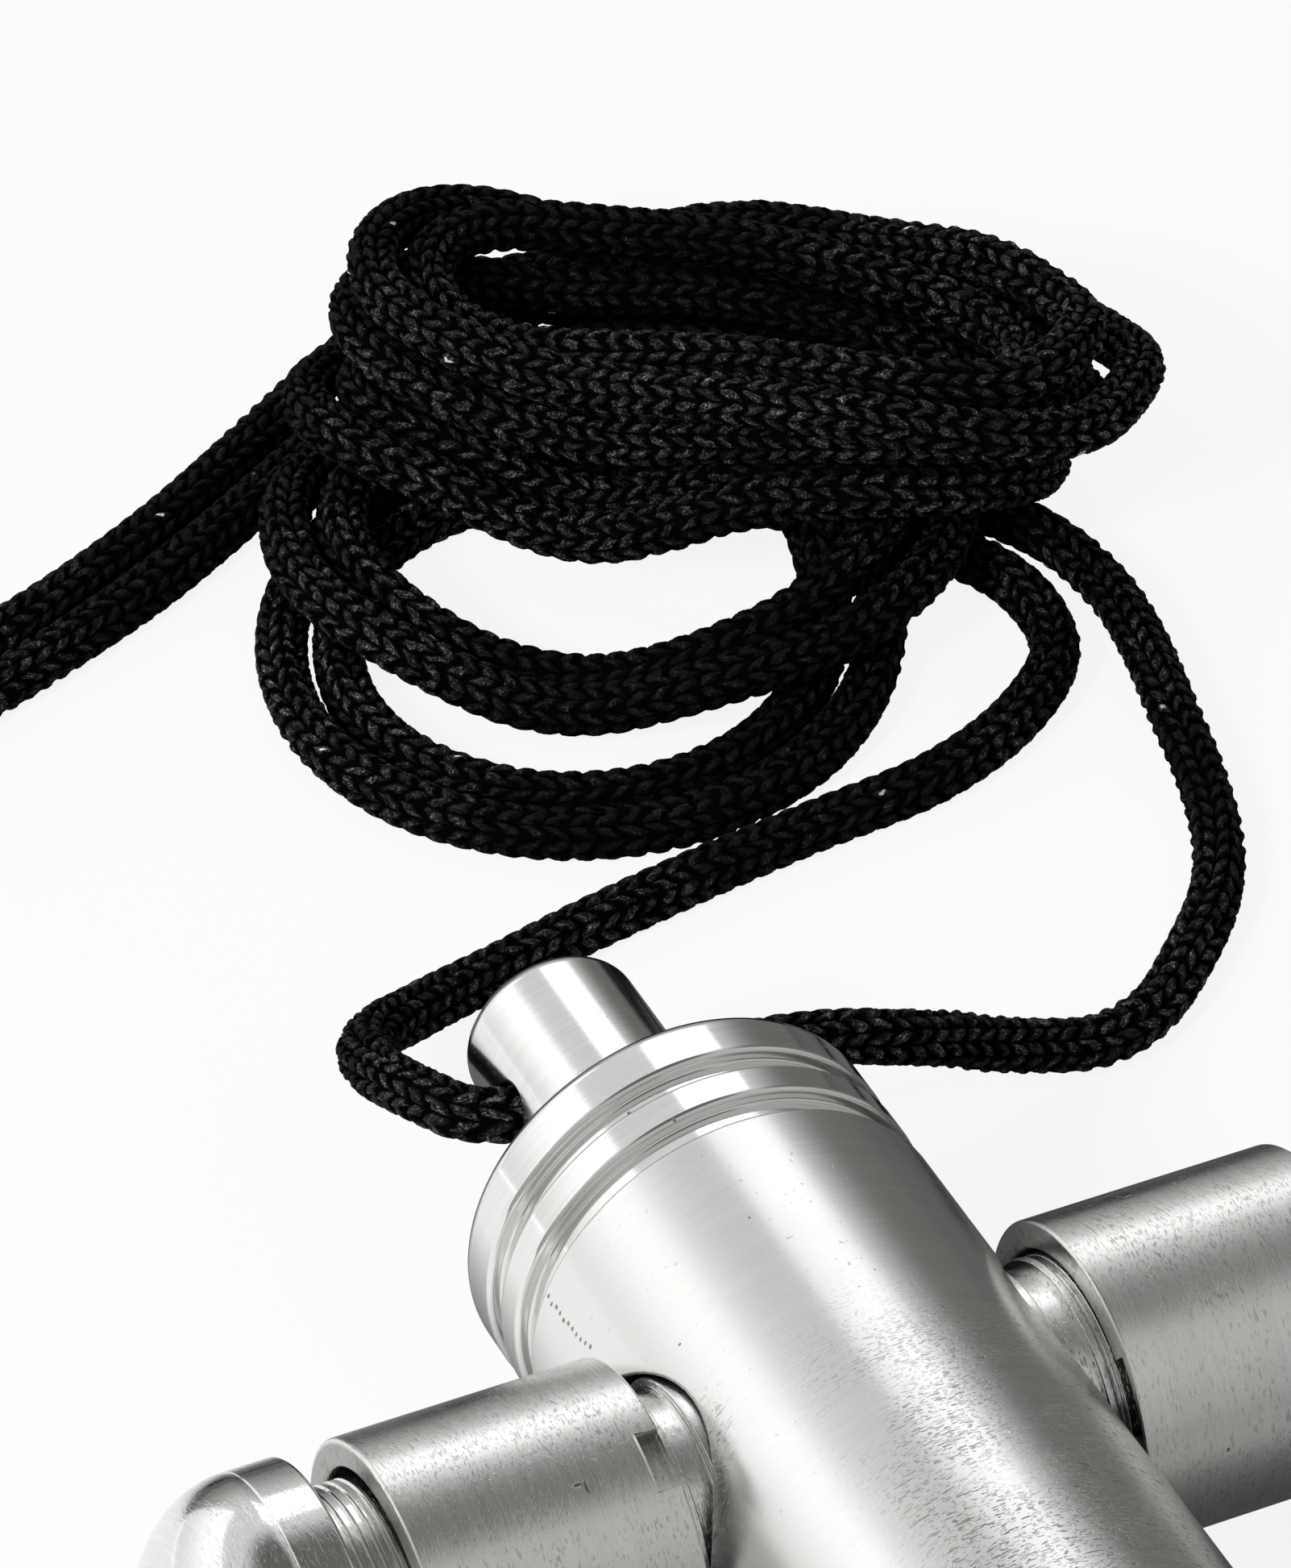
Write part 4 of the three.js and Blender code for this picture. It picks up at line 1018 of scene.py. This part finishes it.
def mouthpiece_skin():
    angles = even_angles(MOUTH_AROUND)
    edge_height = mouth_tip + MOUTH_TIP_ROUND
    wall = [
        *np.linspace(mouth_top, taper_end, TAPER_RINGS),
        *np.linspace(taper_end, edge_height, BEAK_RINGS)[1:]]
    rings = [(mouth_radius(height, angles), height) for height in wall]
    edge = mouth_radius(edge_height, angles)
    for c, s in quarter_turn(TIP_STEPS)[1:]:
        rings.append((edge - MOUTH_TIP_ROUND * (1 - c), mouth_tip + MOUTH_TIP_ROUND * (1 - s)))
    slot = slot_radius(angles)
    tip_edge = rings[-1][0]
    for share in (0.3, 0.6, 0.85):
        rings.append((tip_edge * (1 - share) + (slot + SLOT_RIM) * share, mouth_tip))
    for c, s in quarter_turn(SLOT_RIM_STEPS):
        rings.append((slot + SLOT_RIM * (1 - s), mouth_tip + SLOT_RIM * (1 - c)))
    rings.append((slot, mouth_tip + SLOT_DEPTH))
    grid = np.array([
        np.column_stack([radius * np.cos(angles), radius * np.sin(angles), np.full(MOUTH_AROUND, height)])
        for radius, height in rings])
    around = (np.roll(grid, -1, axis=1) - np.roll(grid, 1, axis=1)) / 2
    normals = np.cross(around, -np.gradient(grid, axis=0))
    normals /= np.linalg.norm(normals, axis=2)[..., None]
    normals[0] = normals[1]
    skin = Skin()
    rows = [skin.add(places) for places in grid]
    for i in range(len(rows) - 1):
        skin.between(rows[i], normals[i], rows[i + 1], normals[i + 1])
    for row, facing in ((rows[0], 1), (rows[-1], -1)):
        skin.face(list(row), [(0, 0, facing)] * MOUTH_AROUND)
    return skin


# The mouthpiece, with painted shade inside its blow slot
mouth_satin = aluminium_finish(
    "turned_mouthpiece", **TURNED, chatter=0.35,
    hollow=(SLOT_HALF_HEIGHT + 0.1, SLOT_HALF_WIDTH + 0.1, mouth_tip + 0.3))
laid_along(mouthpiece_skin().build("flat_mouthpiece", mouth_satin), ALONG_BARREL, "mouthpiece", SATIN_SLOT)

# %% [markdown]
# ## The side tubes
# Each arm starts with a turned neck in the barrel's port, then a fipple plug with a wind channel, and
# then the tube, whose window lies over the channel and makes the note. Both arms are the same pieces
# pointing opposite ways, with their windows turned to other sides, so one loop makes them.

# %% Necks, fipple plugs and tubes
NECK_START, NECK_RADIUS, NECK_WAIST = 6.95, 7.5, 7.0
COLLAR_END, WAIST_END, FIPPLE_START, FIPPLE_RING_END = 10.4, 11.95, 11.9, 12.4
FIPPLE_GROOVE, FIPPLE_END, CHANNEL_FLOOR = 7.05, 15.7, 7.2
TUBE_BORE, TUBE_LENGTH = 7.8, 15.0
WINDOW_WIDTH, WINDOW_LENGTH, POCKET_WIDTH, POCKET_DEPTH, POCKET_FLOOR = 3.4, 1.5, 4.8, 1.4, 8.95
WINDOW_BURR = 0.13
ARMS = {  # direction along X, angle of the window, and its floor where it doesn't go through
    "left": (-1, -25, 8.4), "right": (1, 235, None)}
TUBE_END = TUBE_START + TUBE_LENGTH
WINDOW_END, POCKET_END = TUBE_START + WINDOW_LENGTH, TUBE_START + POCKET_DEPTH


def opening(angle, width, radius):
    """The first and last angle of an opening of some width on a radius."""
    half = math.degrees(math.asin(width / 2 / radius))
    return angle - half, angle + half


def neck_skin():
    return swept(*rounded_outline([
        (0, NECK_START), (NECK_RADIUS, NECK_START, 0.1), (NECK_RADIUS, COLLAR_END, 0.15),
        (NECK_WAIST, COLLAR_END, 0.12), (NECK_WAIST, WAIST_END, 0.04), (0, WAIST_END)]))


def fipple_skin(window):
    points, normals = rounded_outline([
        (0, FIPPLE_START), (NECK_RADIUS, FIPPLE_START, 0.12), (NECK_RADIUS, FIPPLE_RING_END, 0.12),
        (FIPPLE_GROOVE, FIPPLE_RING_END, 0.08), (FIPPLE_GROOVE, TUBE_START, 0.06),
        (NECK_RADIUS, TUBE_START, 0.08), (NECK_RADIUS, FIPPLE_END, 0.15), (CHANNEL_FLOOR, FIPPLE_END),
        (0, FIPPLE_END)])
    start = nearest(points, (FIPPLE_GROOVE + 0.06, TUBE_START))
    end = nearest(points, (CHANNEL_FLOOR, FIPPLE_END))
    channel = (*opening(window, WINDOW_WIDTH, NECK_RADIUS), start, end, [(CHANNEL_FLOOR, TUBE_START)])
    return swept(points, normals, notches=[channel])


def tube_skin(window, floor):
    """A side tube. Its window goes through the wall, or down to a floor where one is given."""
    points, normals = rounded_outline([
        (POCKET_FLOOR, TUBE_START), (TUBE_RADIUS, TUBE_START, 0.22), (TUBE_RADIUS, WINDOW_END),
        (TUBE_RADIUS, TUBE_END, 0.28), (TUBE_BORE, TUBE_END, 0.25), (TUBE_BORE, WINDOW_END),
        (TUBE_BORE, POCKET_END), (TUBE_BORE, TUBE_START, 0.12)], closed=True)
    normals = np.where(np.abs(normals) < 1e-9, 0, normals)
    lip = nearest(points, (POCKET_FLOOR, TUBE_START))
    outer = nearest(points, (TUBE_RADIUS, WINDOW_END))
    window_notch = (nearest(points, (TUBE_BORE, WINDOW_END)), outer, [])
    if floor:
        burr = (TUBE_RADIUS + WINDOW_BURR, WINDOW_END - 0.08)
        cut = [(floor, TUBE_START + 0.02), (floor, WINDOW_END - 0.12), burr]
        window_notch = (lip, outer, cut, TUBE_RADIUS)
    pocket_notch = (nearest(points, (TUBE_BORE, POCKET_END)), lip, [(POCKET_FLOOR, POCKET_END)])
    return swept(points, normals, profile_closed=True, notches=[
        (*opening(window, WINDOW_WIDTH, TUBE_RADIUS), *window_notch),
        (*opening(window + 180, POCKET_WIDTH, POCKET_FLOOR), *pocket_notch)])


for hand, (side, window, window_floor) in ARMS.items():
    along = Vector((side, 0, 0))
    for skin, name, finish, node, slot in (
            (neck_skin(), "neck_ring", matt_polish, "neck", POLISHED_SLOT),
            (fipple_skin(window), "fipple_plug", matt_polish, "fipple", POLISHED_SLOT),
            (tube_skin(window, window_floor), "side_tube", satin, "tube", SATIN_SLOT)):
        laid_along(skin.build(f"{hand}_{name}", finish), along, f"{hand}_{node}", slot)

# %% [markdown]
# ## Tuning plugs
# A domed plug slides in each tube and changes its note. A rubber ring in a groove of its stem holds it
# and keeps the air in. The dome is half an ellipse with a finger hole through its middle, and the tool
# left a few rings on the stem. Plug and seal ring ride on a body of their own, so that they move when
# the tuning joint does.

# %% Domed plugs and their seal rings
STEM_START, STEM_RADIUS, SEAL_AT, SEAL_RADIUS, SEAL_SECTION = 19.4, 7.3, 21.95, 6.85, 1.5
GROOVE_HALF, GROOVE_FLOOR = 0.95, 5.9
KNOB_RADIUS, BAND_START, BAND_END, DOME_HEIGHT, FINGER_HOLE = 9.4, 30.9, 33.7, 7.3, 2.5
DOME_STEPS, BAND_STEP, SEAL_STEPS = 40, 0.07, 24
RING_STARTS, RING_WIDTH, RING_DEPTH, RING_ROUND = (28, 28.6, 29.2, 29.8), 0.28, 0.16, 0.04


def knob_skin():
    last = math.acos((FINGER_HOLE + 0.25) / KNOB_RADIUS)
    dome = [
        (KNOB_RADIUS * math.cos(a), BAND_END + DOME_HEIGHT * math.sin(a))
        for a in np.linspace(0.06, last, DOME_STEPS)]
    rings = [
        (STEM_RADIUS - depth, start + share * RING_WIDTH, RING_ROUND)
        for start in RING_STARTS for share, depth in ((0, 0), (0.5, RING_DEPTH), (1, 0))]
    return swept(*rounded_outline([
        (FINGER_HOLE, STEM_START, 0.2), (STEM_RADIUS, STEM_START, 0.3),
        (STEM_RADIUS, SEAL_AT - GROOVE_HALF, 0.1), (GROOVE_FLOOR, SEAL_AT - GROOVE_HALF, 0.1),
        (GROOVE_FLOOR, SEAL_AT + GROOVE_HALF, 0.1), (STEM_RADIUS, SEAL_AT + GROOVE_HALF, 0.1),
        *rings, (STEM_RADIUS, BAND_START, 0.15), (KNOB_RADIUS, BAND_START, 0.3),
        (KNOB_RADIUS, BAND_END, 0.05), (KNOB_RADIUS - BAND_STEP, BAND_END + 0.1, 0.04),
        *dome, (FINGER_HOLE, dome[-1][1] + 0.02, 0.2)], closed=True), profile_closed=True)


def rubber_finish(name):
    material, board = new_finish(name)
    bloom = board.noise(board.node("ShaderNodeTexCoord", out="Object"), 900, 4)
    board.close(board.principled({
        "Base Color": board.blend(bloom.ramp(0.3, 0.8), (0.010, 0.010, 0.010), (0.030, 0.030, 0.030)),
        "Roughness": 0.45 + 0.25 * bloom,
        "Normal": board.bump(bloom, 0.15, 0.03 * MM),
    }))
    return material


def seal_skin():
    around = even_angles(SEAL_STEPS)
    normals = np.stack([np.cos(around), np.sin(around)], axis=1)
    return swept(np.array((SEAL_RADIUS, SEAL_AT)) + normals * SEAL_SECTION / 2, normals, profile_closed=True)


rubber = rubber_finish("seal_ring_rubber")
for hand, (side, _, _) in ARMS.items():
    along, body = Vector((side, 0, 0)), f"{hand}_plug"
    knob = knob_skin().build(f"{hand}_domed_plug", dome_polish)
    laid_along(knob, along, f"{hand}_knob", POLISHED_SLOT, body)
    seal = seal_skin().build(f"{hand}_seal_ring", rubber)
    laid_along(seal, along, f"{hand}_seal", "seal_rubber", body)

# %% [markdown]
# ## Light, floor and backdrop
# Bright metal shows the room it stands in more than its own colour. The photograph's bands tell what
# stood round it: a bright panel behind, a larger one to the left, a grey wall between them, and a dark
# ceiling. Each is a lamp or a tone of the world in that direction. A lamp's power is worked out from the
# brightness that its panel should have, so that white stays white. One small key lamp brings out the
# stitches of the black yarn, and the metal doesn't mirror it.

# %% Panels of light
STAGE_MIDDLE = Vector((0, 0, AXIS_HEIGHT))


def panel(name, direction, distance, width, height, brightness, glossy=True):
    direction = Vector(direction).normalized()
    lamp = bpy.data.lights.new(name, "AREA")
    lamp.shape = "RECTANGLE"
    lamp.size, lamp.size_y = width, height
    lamp.energy = brightness * math.pi * width * height
    holder = placed(name, lamp)
    holder.location = STAGE_MIDDLE + direction * distance
    holder.rotation_euler = direction.to_track_quat("Z", "Y").to_euler()
    holder.visible_glossy = glossy
    print(f"{name}: {width:.2f} by {height:.2f} m, {lamp.energy:.2f} W")


panel("back_panel", (0.28, 0.70, 0.65), 0.7, 0.27, 0.27, 0.75)
panel("left_panel", (-0.62, 0.71, 0.28), 0.7, 0.75, 0.55, 0.6)
panel("yarn_key", (-0.72, -0.30, 0.62), 0.6, 0.12, 0.12, 60, glossy=False)

# %% [markdown]
# The floor is white paper. The camera sees it as plain white. Shiny pieces see a painted reflection
# in it: light to the left, dark to the right and grey in front, in the tones that the photograph's
# metal shows. A share of its own shading stays in, so that the object keeps its shadow.
# The world is a grey room with a dark ceiling, and it too is white where the camera looks past the floor.

# %% Floor and world
FLOOR_SIDE = 3.0
PAPER_SEEN = 0.88  # how much of the floor's plain tone is mixed with its shading
WHITE = (1, 1, 1)


def light_path(board, kind):
    return board.node("ShaderNodeLightPath", out=f"Is {kind} Ray")


def paper_finish(name):
    material, board = new_finish(name)
    seen, shiny, clear = (light_path(board, kind) for kind in ("Camera", "Glossy", "Transmission"))
    place = board.node("ShaderNodeTexCoord", out="Object")
    east, north, _ = board.parts(place)
    fibres = board.blend(board.noise(place, 900, 3), (0.86, 0.86, 0.86), (0.90, 0.90, 0.90))
    paper = board.node("ShaderNodeBsdfDiffuse", {}, {"Color": fibres})
    # Painted reflection: what shiny pieces see of the floor, light to the left, dark to the right, grey in
    # front
    from_left = (east + north * 0.3).ramp(-25 * MM, 5 * MM)
    painted_reflection = board.blend(from_left, (0.98, 0.975, 0.97), (0.05, 0.048, 0.046))
    painted_reflection = board.blend((0 - north).ramp(8 * MM, 40 * MM), painted_reflection, (0.26, 0.254, 0.247))
    tone = board.blend(shiny, WHITE, painted_reflection)
    glow = board.node("ShaderNodeEmission", {}, {"Color": tone, "Strength": 1.0})
    share = (seen + shiny + clear) * PAPER_SEEN
    board.close(board.node("ShaderNodeMixShader", {}, {0: share, 1: paper, 2: glow}))
    return material


half = FLOOR_SIDE / 2
floor_mesh = bpy.data.meshes.new("paper_floor")
floor_mesh.from_pydata(
    [(-half, -half, 0), (half, -half, 0), (half, half, 0), (-half, half, 0)], [], [(0, 1, 2, 3)])
floor_mesh.materials.append(paper_finish("white_paper"))
floor = placed("paper_floor", floor_mesh)

world = bpy.data.worlds.new("studio_room")
bpy.context.scene.world = world
world.use_nodes = True
room = Board(world.node_tree)
east, north, high = room.parts(room.node("ShaderNodeTexCoord", out="Generated"))
behind = room.blend(high.ramp(0, 0.6), (0.24, 0.235, 0.228), (0.70, 0.695, 0.69))
behind = room.blend(east.ramp(0.46, 0.7), behind, (0.15, 0.146, 0.14))
before = room.blend(high.ramp(0.15, 0.6), (0.40, 0.393, 0.385), (0.50, 0.493, 0.485))
wall = room.blend(north.ramp(-0.2, 0.2), before, behind)
tone = room.blend(high.ramp(0.82, 0.95), wall, (0.13, 0.126, 0.12))
tone = room.blend(light_path(room, "Camera").larger(light_path(room, "Transmission")), tone, WHITE)
sky = room.node("ShaderNodeBackground", {}, {"Color": tone, "Strength": 1.0})
room.close(sky, "ShaderNodeOutputWorld")
print("Floor and room are ready")

# %% [markdown]
# ## Finish
# The last line brings the view layer up to date.

# %% Finish
bpy.context.view_layer.update()
